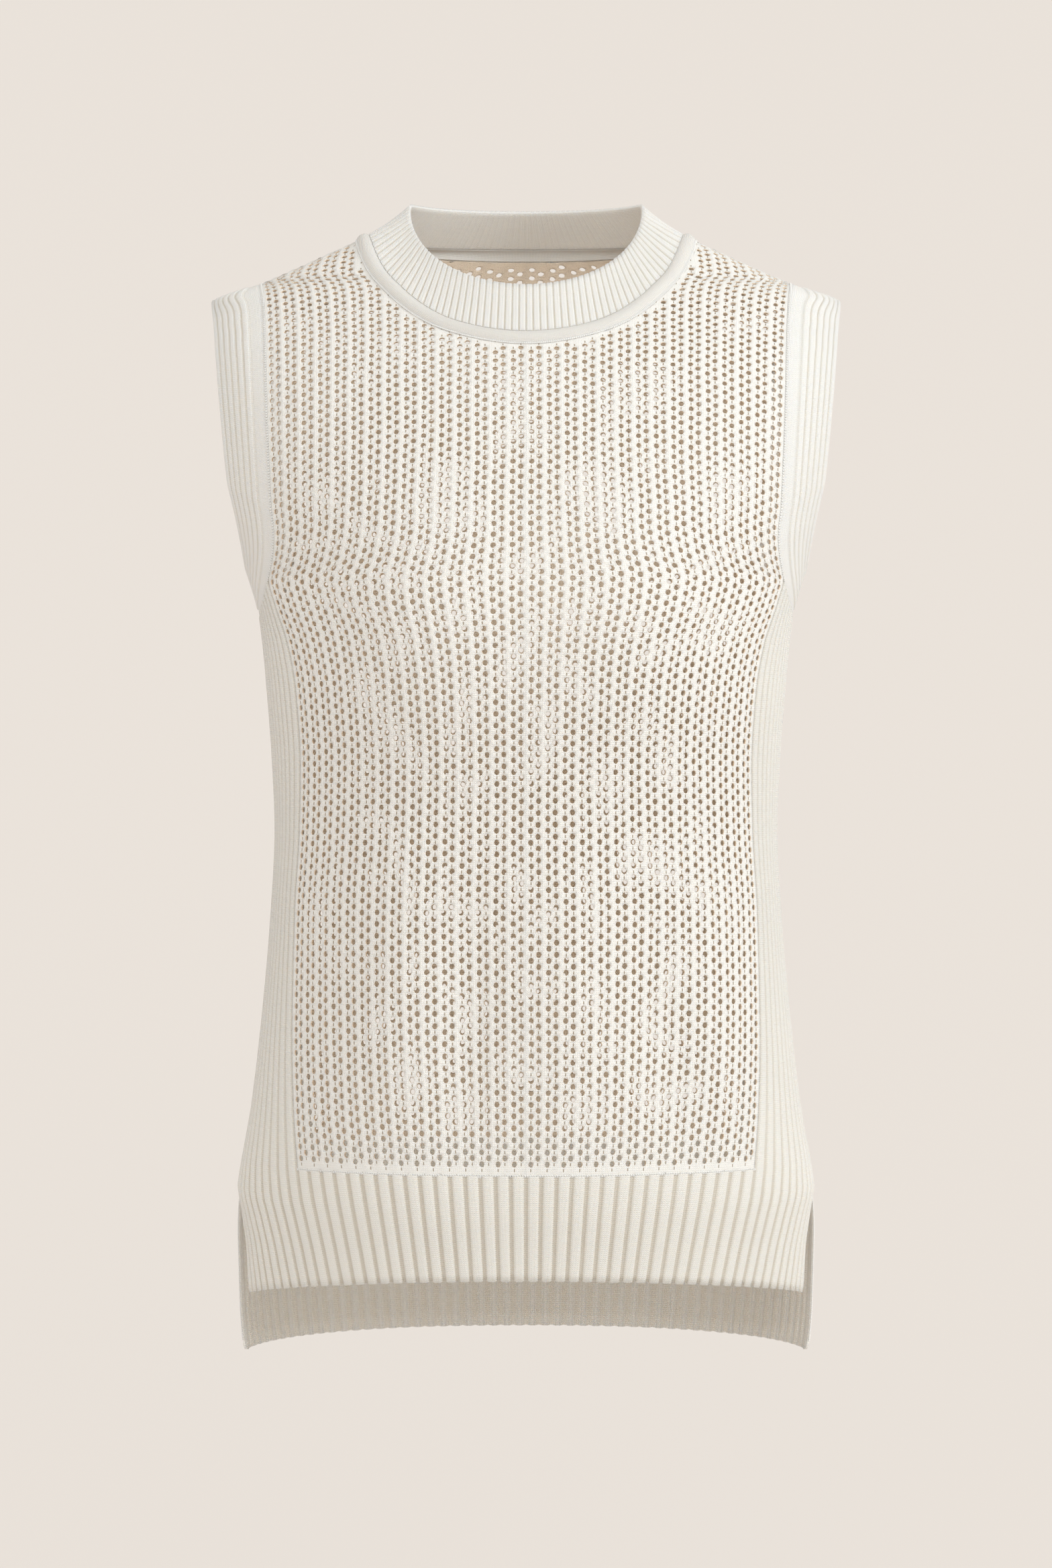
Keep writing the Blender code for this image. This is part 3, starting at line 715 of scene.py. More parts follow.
# %% Tiles of the net
HOLE = (1.6 * MM, 1.72 * MM)
COLUMN_IN_PAIR = 0.29  # of the pitch, from the edge of a pair to its first column
WALE_RISE, NECK_RISE, RIM_SINK = 0.60 * MM, -0.25 * MM, -0.10 * MM
AROUND = [(1, 0), (1, 1), (0, 1), (-1, 1), (-1, 0), (-1, -1), (0, -1), (1, -1)]

def tile(name, first, hole):
    """A tile of one column: the first of a pair is wide on its left, the second on its right."""
    wide, narrow = COLUMN_IN_PAIR * PAIR_PITCH, (0.5 - COLUMN_IN_PAIR) * PAIR_PITCH
    left, right = (wide, narrow) if first else (narrow, wide)
    outer = (WALE_RISE, NECK_RISE) if first else (NECK_RISE, WALE_RISE)
    heights = {-1: outer[0], 0: RIM_SINK, 1: outer[1]}
    border = []
    for across, up in AROUND:
        x = across * (right if across > 0 else left)
        border.append((x, up * ROW_PITCH / 2, heights[across]))
    if hole:
        turns = [math.pi / 4 * k for k in range(8)]
        inner = [(HOLE[0] * math.cos(a), HOLE[1] * math.sin(a), RIM_SINK) for a in turns]
        faces = [(k, 8 + k, 8 + (k + 1) % 8, (k + 1) % 8) for k in range(8)]
    else:
        inner = [(0, 0, RIM_SINK)]
        faces = [(0, 1 + k, 2 + k, 1 + (k + 2) % 8) for k in range(0, 8, 2)]
    mesh = bpy.data.meshes.new(name)
    mesh.from_pydata(inner + border, [], faces)
    keep_numbers(mesh, "rim", [float(hole)] * len(inner) + [0.0] * 8)
    return bpy.data.objects.new(name, mesh)


kinds = [(first, hole) for first in (True, False) for hole in (True, False)]
tiles = {kind: tile("tile_{:d}{:d}".format(*kind), *kind) for kind in kinds}
print("tiles:", [len(made.data.polygons) for made in tiles.values()], "faces")

# %% [markdown]
# The tree lays the four tiles in a lattice and welds their borders, then shakes every point a
# little, since no knitter's yarn lies dead even. Points beyond the panel slide back to its edge, so
# the net ends in a clean line along every seam. Last, each point is moved from the flat panel to
# the worn one, and its height above the flat panel becomes its height above the cloth.

# %% The tree that knits the net
IN_PLAN, MIDDLE_GREY = (1, 1, 0), (0.5, 0.5, 0.5)


def net_tree():
    tree, given = new_tree(
        "eyelet_net",
        First_whole=bpy.types.Object, First_plain=bpy.types.Object,
        Second_whole=bpy.types.Object, Second_plain=bpy.types.Object,
        Pairs=PAIRS, Rows=100, Pair_pitch=PAIR_PITCH, Row_pitch=ROW_PITCH, First_row=0.0,
        Clear_of_seam=3.3 * MM, Unevenness=0.11 * MM, Wander=0.5 * MM, Seed=4,
        Material=bpy.types.Material,
    )
    panel, first_row = given["Geometry"], given["First row"]
    pair_pitch, row_pitch = given["Pair pitch"], given["Row pitch"]
    inner_edge = given_by(tree, "GeometryNodeInputMeshEdgeNeighbors") > 1.5
    edges = {"Geometry": panel, "Selection": inner_edge}
    outline = {"domain": "EDGE", "mode": "EDGE_FACE"}
    border = given_by(tree, "GeometryNodeDeleteGeometry", edges, **outline)

    def distance(target, element, place=None):
        made = node(tree, "GeometryNodeProximity", {0: target}, target_element=element)
        if place is not None:
            source = next(socket for socket in made.inputs if "Position" in socket.name)
            tree.links.new(place.socket, source)
        return Value(made.outputs["Distance"])

    joined = node(tree, "GeometryNodeJoinGeometry")
    laid_tiles = []
    columns, rows = given["Pairs"] + 2, given["Rows"]
    width, height = (columns - 1) * pair_pitch, (rows - 1) * row_pitch
    for label, across, up in (("First", COLUMN_IN_PAIR, 0.0), ("Second", 1 - COLUMN_IN_PAIR, 0.5)):
        sizes = {"Size X": width, "Size Y": height, "Vertices X": columns, "Vertices Y": rows}
        lattice = given_by(tree, "GeometryNodeMeshGrid", sizes)
        rise = row_pitch * (up - 2) + first_row + height * 0.5
        aside = pair_pitch * (across - 0.5)
        offset = given_by(tree, "ShaderNodeCombineXYZ", {0: aside, 1: rise})
        shifted = {"Geometry": lattice, "Offset": offset}
        points = given_by(tree, "GeometryNodeSetPosition", shifted)
        on_panel = distance(panel, "FACES") < TILES_BEYOND
        clear = distance(border, "EDGES") > given["Clear of seam"]
        inside = distance(panel, "FACES") < WELD
        spot = given_by(tree, "GeometryNodeInputPosition")
        above = given_by(tree, "ShaderNodeSeparateXYZ", {0: spot}, 1) > first_row - 0.1 * MM
        eyelet = clear * inside * above
        for kind, chosen in (("whole", eyelet), ("plain", on_panel - eyelet)):
            source = {"Object": given[f"{label} {kind}"]}
            shape = given_by(tree, "GeometryNodeObjectInfo", source, "Geometry")
            laid = {"Points": points, "Selection": chosen, "Instance": shape}
            laid_tiles.append(given_by(tree, "GeometryNodeInstanceOnPoints", laid))
    for laid in laid_tiles:
        tree.links.new(laid.socket, joined.inputs[0])
    real = given_by(tree, "GeometryNodeRealizeInstances", {0: Value(joined.outputs[0])})
    close = {"Geometry": real, "Distance": 2 * WELD}
    welded = given_by(tree, "GeometryNodeMergeByDistance", close)

    position = given_by(tree, "GeometryNodeInputPosition")
    shake, back = given["Unevenness"], given["Unevenness"] * -1
    loose = node(tree, "FunctionNodeRandomValue", {"Seed": given["Seed"]}, data_type="FLOAT_VECTOR")
    for k, limit in enumerate((back, shake)):
        corner = node(tree, "ShaderNodeCombineXYZ", {0: limit, 1: limit})
        tree.links.new(corner.outputs[0], loose.inputs[k])
    level = vector_maths("MULTIPLY", position, IN_PLAN)
    level = vector_maths("ADD", level, Value(loose.outputs[0]))
    drift = given_by(tree, "ShaderNodeTexNoise", {"Scale": 22.0, "Detail": 1.0}, "Color")
    drift = vector_maths("SUBTRACT", drift, MIDDLE_GREY)
    away = smooth_step(distance(border, "EDGES"), 2 * MM, 40 * MM)
    drift = vector_maths("SCALE", drift, Scale=away * given["Wander"])
    level = vector_maths("ADD", level, vector_maths("MULTIPLY", drift, IN_PLAN))

    kept = store(welded, "level", level, "FLOAT_VECTOR")
    spot = stored(tree, "level", "FLOAT_VECTOR")
    kept = store(kept, "off", distance(panel, "FACES", spot) > WELD)
    lost = {"Geometry": kept, "Selection": stored(tree, "off") > 0.99}
    kept = given_by(tree, "GeometryNodeDeleteGeometry", lost, domain="FACE")

    def from_panel(name):
        source = {"Mesh": panel}
        found = node(tree, "GeometryNodeSampleNearestSurface", source, data_type="FLOAT_VECTOR")
        tree.links.new(stored(tree, name, "FLOAT_VECTOR").socket, found.inputs["Value"])
        tree.links.new(spot.socket, found.inputs["Sample Position"])
        return Value(found.outputs[0])

    near = smooth_step(distance(border, "EDGES", spot), 0.5 * MM, 5 * MM)
    rise = given_by(tree, "ShaderNodeSeparateXYZ", {0: position}, 2) * near
    lifted = vector_maths("SCALE", from_panel("out"), Scale=rise)
    worn = vector_maths("ADD", from_panel("worn"), lifted)
    placed = given_by(tree, "GeometryNodeSetPosition", {"Geometry": kept, "Position": worn})
    mapped = store(placed, "flat", spot, "FLOAT2", "CORNER")
    end_tree(tree, mapped, given["Material"])
    return tree


knit_net = net_tree()
print("net tree:", len(knit_net.nodes), "nodes")

# %% [markdown]
# ## Knit finishes
#
# Each stitch is far too small to model: the top has about two hundred thousand. Bump does them
# instead. A material reads the flat map in metres, so one formula draws every V of yarn at its real
# size on every panel. The formula could be an image, but a formula has no edge and no limit.

# %% Knit finishes
SOFT, DENSE = (0.4, 3 * MM), (0.75, 7 * MM)  # how much light a yarn passes, and how far
OPENWORK, RIB, PLAIN = (0.95, 0.945, 0.92), (0.935, 0.925, 0.89), (0.91, 0.90, 0.875)
# Painted shade, warm as from light bounced inside the top: the cloth's inner face, the eyelets'
# walls, and the sunken middle of each pair of eyelet columns.
INNER_FACE_SHADE, EYELET_WALL_SHADE, PAIR_MIDDLE_SHADE = (0.92, 0.79, 0.66), (0.80, 0.66, 0.52), (0.42, 0.36, 0.29)
# Painted shade in rib grooves and between stitches, as shares of the yarn's own colour.
PAINTED_SHADE_TONE = (0.66, 0.61, 0.54)  # shares of the yarn's own colour


def shader(name, colour, roughness, through=SOFT, sheen=0.08):
    material = bpy.data.materials.new(name)
    material.use_nodes = True
    surface = material.node_tree.nodes["Principled BSDF"]
    values = {
        "Base Color": (*colour, 1), "Roughness": roughness, "Specular IOR Level": 0.25,
        "Sheen Weight": sheen, "Sheen Roughness": 0.5, "Subsurface Weight": through[0],
        "Subsurface Radius": (1.0, 0.85, 0.7), "Subsurface Scale": through[1],
    }
    for key, value in values.items():
        surface.inputs[key].default_value = value
    return material, material.node_tree, surface


def flat_map(tree, shake=0.0, scale=600.0):
    """The flat cloth's place, in metres, shaken a little so that no row is dead straight."""
    flat = given_by(tree, "ShaderNodeUVMap", uv_map="flat")
    if shake:
        noise = {"Vector": flat, "Scale": scale, "Detail": 1.0}
        drift = given_by(tree, "ShaderNodeTexNoise", noise, "Color")
        drift = vector_maths("SUBTRACT", drift, MIDDLE_GREY)
        flat = vector_maths("ADD", flat, vector_maths("SCALE", drift, Scale=shake))
    split = node(tree, "ShaderNodeSeparateXYZ", {0: flat})
    return flat, Value(split.outputs[0]), Value(split.outputs[1])


def knit_stitches(u, v, wale, course, slant=0.5):
    """Height of stocking stitch: columns of Vs, each V two slanting legs of yarn."""
    aside = abs(maths("FRACT", u / wale) - 0.5)
    turn = (v / course - aside * (2 * slant)) * math.tau
    legs = maths("MULTIPLY_ADD", maths("COSINE", turn), 0.5, 0.5)
    cheek = maths("SINE", aside * (2 * math.pi))
    return maths("POWER", maths("MAXIMUM", cheek, 0.0), 0.5) * maths("MULTIPLY_ADD", legs, 0.6, 0.4)


def bumpy(tree, surface, flat, stitches, fineness, amount, depth, rim=None):
    """Raises the stitches, and the fibres' grain on them, as a bump."""
    noise = {"Vector": flat, "Scale": fineness, "Detail": 2.0}
    height = maths("MULTIPLY_ADD", given_by(tree, "ShaderNodeTexNoise", noise), amount, stitches)
    if rim:
        height = height + smooth_step(rim, 0.35, 0.75)
    bump = node(tree, "ShaderNodeBump", {"Height": height, "Distance": depth, "Strength": 1.0})
    tree.links.new(bump.outputs[0], surface.inputs["Normal"])


def facing_in(tree):
    """1 where the cloth faces the inside of the top, 0 outside."""
    spots = node(tree, "ShaderNodeTexCoord").outputs
    level = vector_maths("MULTIPLY", Value(spots["Object"]), IN_PLAN)
    away = vector_maths("NORMALIZE", level)
    return smooth_step(vector_maths("DOT_PRODUCT", away, Value(spots["Normal"])), -0.1, -0.3)


def mixed(colour, other, factor):
    """A yarn colour with another mixed in by a factor."""
    first = colour if isinstance(colour, Value) else (*colour, 1)
    inputs = {0: factor, 6: first, 7: (*other, 1)}
    return given_by(tree_of(factor), "ShaderNodeMix", inputs, 2, data_type="RGBA")


def openwork_finish():
    material, tree, surface = shader("openwork_knit", OPENWORK, 0.9, (0.2, 2.5 * MM))
    flat, u, v = flat_map(tree, 0.7 * MM, 700.0)
    stitches = knit_stitches(u, v, PAIR_PITCH / 8, 1.25 * MM)
    rim = given_by(tree, "ShaderNodeAttribute", (), "Fac", attribute_name="rim")
    bumpy(tree, surface, flat, stitches, 1500.0, 0.5, 0.32 * MM, rim)
    _, u, v = flat_map(tree)
    cell = maths("FRACT", u / PAIR_PITCH)
    second = cell > 0.5
    middle = maths("MULTIPLY_ADD", second, 1 - 2 * COLUMN_IN_PAIR, COLUMN_IN_PAIR)
    aside = abs((cell - middle) * (PAIR_PITCH / MM))
    row = maths("FRACT", maths("MULTIPLY_ADD", second, 0.5, (v - FIRST_ROW) / ROW_PITCH))
    # Painted shade: darker in the sunken middle of each pair of columns between eyelets, and a
    # little in the hollows between stitches.
    pair_shade = 1.0 - smooth_step(aside, 0.2, 0.55)
    pair_shade = pair_shade * (1.0 - smooth_step(abs(row - 0.5), 0.08, 0.18))
    hollow = 1.0 - smooth_step(stitches, 0.0, 0.7)
    colour = mixed(OPENWORK, PAIR_MIDDLE_SHADE, maths("MAXIMUM", pair_shade, hollow * 0.22))
    # Painted shade: the inner face of the cloth is darker and warmer.
    colour = mixed(colour, INNER_FACE_SHADE, facing_in(tree))
    # Painted shade on the eyelets' walls, where the inside of the top shows through.
    colour = mixed(colour, EYELET_WALL_SHADE, smooth_step(rim, 0.9, 1.0))
    tree.links.new(colour.socket, surface.inputs["Base Color"])
    return material


Stitches = namedtuple("Stitches", "colour wale course depth shadow slant inside through")
STITCHED = {  # sizes in millimetres; shadow between stitches, and groove shade inside the top
    "rib_knit": Stitches(RIB, 1.5, 1.25, 0.42, 0.35, 0.5, 0.45, SOFT),
    "fine_rib_knit": Stitches(RIB, 1.45, 1.3, 0.36, 0.3, 0.5, 0.1, DENSE),
    "plain_knit": Stitches(PLAIN, 1.25, 1.15, 0.45, 0.4, 0.3, 0.45, SOFT),
}
GROOVE_SHADE = 0.7  # outside the top


def stitched_finish(name):
    knit = STITCHED[name]
    material, tree, surface = shader(name, knit.colour, 0.88, knit.through)
    flat, u, v = flat_map(tree, 0.35 * MM, 500.0)
    stitches = knit_stitches(u, v, knit.wale * MM, knit.course * MM, knit.slant)
    bumpy(tree, surface, flat, stitches, 2500.0, 0.35, knit.depth * MM)
    # Painted shade: darker in the hollows between stitches and in the rib grooves, less in grooves
    # on the inner face.
    hollow = 1.0 - smooth_step(stitches, 0.0, 0.8)
    groove = given_by(tree, "ShaderNodeAttribute", (), "Fac", attribute_name="groove")
    shade = maths("MULTIPLY_ADD", facing_in(tree), knit.inside - GROOVE_SHADE, GROOVE_SHADE)
    dark = maths("MAXIMUM", hollow * knit.shadow, groove * shade)
    shade_colour = tuple(share * part for share, part in zip(PAINTED_SHADE_TONE, knit.colour))
    tree.links.new(mixed(knit.colour, shade_colour, dark).socket, surface.inputs["Base Color"])
    return material


openwork = openwork_finish()
rib, fine_rib, plain = (stitched_finish(name) for name in STITCHED)
print("finishes:", [material.name for material in (openwork, rib, fine_rib, plain)])

# %% [markdown]
# Now the two panels are knitted. Each has about five thousand real holes. A panel is then parted
# down its centre line into two pieces, only to keep each one light; both halves keep the shading of
# the whole, so the parting can't be seen.

# %% Knit the two panels
def parted(piece, names):
    """The left and right of a piece as two objects that keep its shading."""
    mesh = piece.data
    points, outer = read(mesh.vertices, "co", 3), len(mesh.vertices) // 2
    corner_points = read(mesh.loops, "vertex_index", kind=np.int32)
    starts = read(mesh.polygons, "loop_start", kind=np.int32)
    sizes = read(mesh.polygons, "loop_total", kind=np.int32)
    flat = read(mesh.uv_layers["flat"].data, "uv", 2)
    normals = read(mesh.corner_normals, "vector", 3)
    rim = read(mesh.attributes["rim"].data, "value")
    middle = np.add.reduceat(flat[:, 0], starts) / sizes
    parts = []
    for name, chosen in zip(names, (middle < 0, middle >= 0)):
        corners = np.repeat(chosen, sizes)
        used, index = np.unique(corner_points[corners], return_inverse=True)
        rows = [row.tolist() for row in np.split(index.ravel(), np.cumsum(sizes[chosen])[:-1])]
        sides = {(a, b) for row in rows for a, b in zip(row, row[1:] + row[:1])}
        inner = {int(other): k for k, other in enumerate(used - outer)}
        cut = sorted((a, b) for a, b in sides if (b, a) not in sides and used[a] < outer > used[b])
        rows += [[b, a, inner[int(used[a])], inner[int(used[b])]] for a, b in cut]
        edge = np.zeros(4 * len(cut), int)
        half = bpy.data.meshes.new(name)
        half.from_pydata(points[used].tolist(), [], rows)
        layer = half.uv_layers.new(name="flat").data
        layer.foreach_set("uv", np.concatenate([flat[corners], flat[edge]]).ravel())
        keep_numbers(half, "rim", rim[used])
        half.materials.append(mesh.materials[-1])
        half.shade_smooth()
        own = np.concatenate([normals[corners], 0 * normals[edge]])
        half.normals_split_custom_set(own.tolist())
        parts.append(in_scene(name, half))
    bpy.data.objects.remove(piece)
    return parts


NET_WALL = 1.3 * MM
WANDER = {FRONT: 2.0 * MM, BACK: 12.0 * MM}
nets = {}
for half_name, half in HALVES.items():
    net = run_tree(
        flat_net(f"{half_name}_flat", half), knit_net, f"{half_name}_net", NET_WALL,
        First_whole=tiles[True, True], First_plain=tiles[True, False],
        Second_whole=tiles[False, True], Second_plain=tiles[False, False],
        First_row=FIRST_ROW, Wander=WANDER[half], Seed=4 + half, Material=openwork,
    )
    sides = ("right", "left") if half == FRONT else ("left", "right")
    nets[half_name] = parted(net, [f"{half_name}_net_{side}" for side in sides])
for made in tiles.values():
    bpy.data.objects.remove(made)
counts = {name: [triangles(part) for part in parts] for name, parts in nets.items()}
print("nets:", counts, "triangles")

# %% [markdown]
# ## Ribs
#
# A rib knit turns groups of wales to the front and to the back, so ridges stand up between narrow
# grooves. Each ribbed piece starts as a plain grid with a count of ribs across it, and one small
# tree raises all of its ridges at once. Front hem and side panels are one piece here, because the
# same ribs run down through both.

# %% The tree that raises ribs
def rib_tree():
    tree, given = new_tree(
        "ribs", Height=1.0 * MM, Ridge_ends=0.5, Groove_starts=0.75, Middle_line=0.0,
        Unevenness=0.12 * MM, Seed=1, Material=bpy.types.Material,
    )
    ribbed = stored(tree, "ribbed")
    off_ridge = abs(maths("FRACT", stored(tree, "rib")) - 0.5) * 2.0
    ridge = 1.0 - smooth_step(off_ridge, given["Ridge ends"], given["Groove starts"])
    line = 1.0 - smooth_step(off_ridge, 0.0, 0.4)
    ridge = (ridge - line * given["Middle line"]) * ribbed
    seed = {"Seed": given["Seed"]}
    loose = given_by(tree, "FunctionNodeRandomValue", seed, 1, data_type="FLOAT")
    rise = ridge * given["Height"] + (loose - 0.5) * given["Unevenness"] + stored(tree, "lift")
    offset = vector_maths("SCALE", stored(tree, "out", "FLOAT_VECTOR"), Scale=rise)
    kept = store(given["Geometry"], "groove", ribbed - ridge)
    moved = given_by(tree, "GeometryNodeSetPosition", {"Geometry": kept, "Offset": offset})
    end_tree(tree, moved, given["Material"])
    return tree


raise_ribs = rib_tree()
print("rib tree:", len(raise_ribs.nodes), "nodes")

# %% [markdown]
# The hem hangs free below the slits, so its ribs run straight down and its lower edge bows. The
# side panels narrow at the waist as ribs draw together. Both are placed as grids with ten columns
# to a rib, so that the ridges come out round.

# %% Side panels and hems
UNDER_NET, UNDER_SIDE = 16, 11  # ribs from the centre line to the net's edge, and on to the side
RIB_STEPS = 10
HEM_RIB = 9.0 * MM  # one rib laid flat
HEM_CORNER = {FRONT: -669 * MM, BACK: -711 * MM}
HEM_RISE = {FRONT: 20 * MM, BACK: 3 * MM}
HEM_BOW = 2.2
CORNER, SCALLOP = 7 * MM, 0.9 * MM  # the slit's round corners, and how far grooves stop short
LAST_RIDGE = 26.0  # the cloth is smooth beyond it, next to the slit
HEM_ROWS = 15
STRAIGHT_END = -248 * MM  # above it the rows of the side panel bend to the armhole


def ribbed_share(ribs, heights):
    """How far ridges stand up: less beside the slit and on the side panels."""
    beside_slit = np.clip((LAST_RIDGE + 0.25 - np.abs(ribs)) / 0.25, 0, 1)
    on_side = 0.72 + 0.28 * np.clip((HEM_TOP + 20 * MM - heights) / (40 * MM), 0, 1)
    on_side = np.where(np.abs(ribs) > UNDER_NET, on_side, 1.0)
    return beside_slit * on_side


def side_lengths(half, side, z, beyond):
    """Lengths from the centre line at shares of the way from the net's edge to the side."""
    edge = mesh_edge_length(half, side, min(z, MESH_LEAVES_ARMHOLE))
    return side * (edge + (section_length(half, side, z, HALF_GAP) - edge) * beyond)


def underarm(half, side, beyond):
    """Height where lines down the side panel meet the armhole's seam."""
    tops = []
    bend, bottom = band_bend["seam"], band_bottom["seam"]
    start = abs(float(band_point("seam", half, bend)[1]))
    for share in np.linspace(0, 1, 23):
        z = (MESH_LEAVES_ARMHOLE + bottom) / 2
        for _ in range(24):
            place = along_section(half, z, side_lengths(half, side, z, share), HALF_GAP)[0]
            y = min(abs(place[1]), start)
            z += 0.5 * (bend + (bottom - bend) * math.sqrt(1 - (y / start) ** 2) - z)
        tops.append(z)
    return np.interp(beyond, np.linspace(0, 1, 23), tops)


def through_levels(half, levels, lengths, heights):
    """Points of columns at their own heights, read between level sections of the form."""
    placed = np.stack([
        along_section(half, float(z), length, stop) for z, (length, stop) in zip(levels, lengths)
    ])
    points = np.zeros((*heights.shape, 3))
    points[..., 2] = heights
    for k in range(heights.shape[1]):
        for axis in (0, 1):
            points[:, k, axis] = np.interp(heights[:, k], levels, placed[:, k, axis])
    return points


def ribbed_grid(half, ribs, points, heights, free):
    """Points, flat map, outward directions and values of a grid of ribs."""
    flat = np.stack([np.broadcast_to(ribs * HEM_RIB, heights.shape), heights - HEM_TOP], axis=-1)
    values = {"rib": ribs, "ribbed": ribbed_share(ribs, heights), "lift": 0.0, "rim": free}
    return points, flat, outwards(half, points), values


def hem_grid(half):
    side_ribs = UNDER_NET + UNDER_SIDE
    ribs = np.linspace(-side_ribs, side_ribs, 2 * RIB_STEPS * side_ribs + 1)
    own, shares = np.abs(ribs), np.zeros(len(ribs))
    for side in (-1, 1):
        whole = section_length(half, side, HEM_TOP, HALF_GAP)
        across = mesh_edge_length(half, side, HEM_TOP) / whole
        beyond = across + (1 - across) * (own - UNDER_NET) / UNDER_SIDE
        share = np.where(own <= UNDER_NET, across * own / UNDER_NET, beyond)
        shares = np.where(np.sign(ribs) == side, side * share, shares)
    edge = HEM_CORNER[half] + HEM_RISE[half] * (1 - np.abs(shares) ** HEM_BOW)
    to_slit = (1 - np.abs(shares)) * section_length(half, 1, HEM_CORNER[half])
    edge = edge + CORNER - np.sqrt(CORNER**2 - (CORNER - np.minimum(to_slit, CORNER)) ** 2)
    edge = edge + SCALLOP * np.clip(3 * np.abs(ribs % 1 - 0.5) - 0.75, 0, 1) * (own < LAST_RIDGE)
    heights = edge + (HEM_TOP - edge) * np.linspace(0, 1, HEM_ROWS)[:, None]
    levels = np.linspace(edge.min() - 1 * MM, HEM_TOP, 50)
    stops = [stop_at(half, z) for z in levels]
    whole = np.array([
        [section_length(half, side, float(z), stop) for side in (-1, 1)]
        for z, stop in zip(levels, stops)
    ])
    down = ((levels - levels[0]) / (levels[-1] - levels[0]))[:, None]
    even = whole[:1] + (whole[-1:] - whole[:1]) * down
    own_edge = np.abs(shares) ** 5  # ribs run straight down, and only the last follow the slit
    lengths = []
    for stop, true, straight in zip(stops, whole, even):
        true, straight = (np.where(shares < 0, *pair) for pair in (true, straight))
        lengths.append((shares * (straight + (true - straight) * own_edge), stop))
    free = np.arange(HEM_ROWS)[:, None] < HEM_ROWS - 1
    return ribbed_grid(half, ribs, through_levels(half, levels, lengths, heights), heights, free)


def side_grid(half, side):
    beyond = np.linspace(0, 1, RIB_STEPS * UNDER_SIDE + 1)
    tops = underarm(half, side, beyond)
    low = np.linspace(HEM_TOP, STRAIGHT_END, 36)
    heights = np.concatenate([
        np.broadcast_to(low[:, None], (36, len(beyond))),
        STRAIGHT_END + (tops - STRAIGHT_END) * np.linspace(0, 1, 5)[1:, None],
    ])
    levels = np.concatenate([low, np.linspace(STRAIGHT_END, tops.max() + 0.5 * MM, 28)[1:]])
    lengths = [(side_lengths(half, side, float(z), beyond), HALF_GAP) for z in levels]
    ribs = side * (UNDER_NET + UNDER_SIDE * beyond)
    return ribbed_grid(half, ribs, through_levels(half, levels, lengths, heights), heights, 0.0)

RIB_WALL = 1.5 * MM
ribbed = {}
for half_name, half in HALVES.items():
    grids = hem_grid(half), side_grid(half, -1), side_grid(half, 1)
    base = sheet_mesh(f"{half_name}_ribs_base", *grids)
    ribbed[half_name] = run_tree(
        base, raise_ribs, f"{half_name}_ribs", RIB_WALL,
        Height=1.2 * MM, Ridge_ends=0.5, Groove_starts=0.78, Seed=11, Material=rib,
    )
print("hems with side panels:", {name: triangles(piece) for name, piece in ribbed.items()})

# %% [markdown]
# An armhole band is a strip of six fine ribs that runs lengthwise round the arm, with a narrow
# plain part beside its seam. It is a ladder of short rows from the seam to the free edge.

# %% Armhole bands
BAND_RIBS, BAND_PLAIN = 6, 0.22
BAND_RIB = 4.35 * MM
BAND_STATIONS = 72


def resampled(points, count):
    """A line's points again, at even shares of its length."""
    own = np.concatenate([[0], np.cumsum(np.linalg.norm(np.diff(points, axis=0), axis=-1))])
    wanted = np.linspace(0, own[-1], count)
    even = np.stack([np.interp(wanted, own, points[:, axis]) for axis in range(3)], axis=-1)
    return even, own[-1]


def armhole_line(line, half):
    """The armhole's seam or edge from the shoulder line to under the arm."""
    crest, bend, bottom = float(crest_height(band_crest[line])), band_bend[line], band_bottom[line]
    down = crest + (bend - crest) * np.linspace(0, 1, 200)[:-1] ** 2
    under = bend + (bottom - bend) * np.sin(np.linspace(0, math.pi / 2, 120))
    return resampled(band_point(line, half, np.concatenate([down, under])), BAND_STATIONS + 1)


def band_grid(side):
    ribbed_steps = np.linspace(BAND_PLAIN, 1, 8 * BAND_RIBS + 1)
    across = np.concatenate([np.linspace(0, BAND_PLAIN, 5)[:-1], ribbed_steps])
    rib = (across - BAND_PLAIN) / (1 - BAND_PLAIN) * BAND_RIBS
    edge_roll = -0.5 * MM * np.clip((across - 0.97) / 0.03, 0, 1) ** 2
    seam_roll = 0.25 * MM * np.clip(across / 0.04, 0, 1) * (across < BAND_PLAIN)
    values = {
        "rib": rib, "ribbed": np.clip((across - BAND_PLAIN) / 0.03 + 0.5, 0, 1),
        "lift": edge_roll + seam_roll, "rim": across > 0.5,
    }
    grids = []
    for half in (FRONT, BACK):
        (seam, seam_run), (edge, edge_run) = (armhole_line(line, half) for line in ("seam", "edge"))
        points = seam[:, None] + (edge - seam)[:, None] * across[None, :, None]
        points[..., 0] = width_at(half, points[..., 1], points[..., 2])
        out = outwards(half, points)
        points[..., 0] *= side
        out[..., 0] *= side
        run = np.linspace(0, half * (seam_run + edge_run) / 2, BAND_STATIONS + 1)
        flat = np.stack(np.broadcast_arrays(rib[None] * BAND_RIB, run[:, None]), axis=-1)
        grids.append((points, flat, out, values))
    return grids


bands = {}
for side_name, side in SIDES.items():
    base = sheet_mesh(f"arm_{side_name}_base", *band_grid(side))
    bands[side_name] = run_tree(
        base, raise_ribs, f"arm_band_{side_name}", RIB_WALL, Height=0.9 * MM, Ridge_ends=0.45,
        Groove_starts=1.0, Unevenness=0.1 * MM, Seed=21, Material=fine_rib,
    )
print("armhole bands:", {name: triangles(piece) for name, piece in bands.items()})

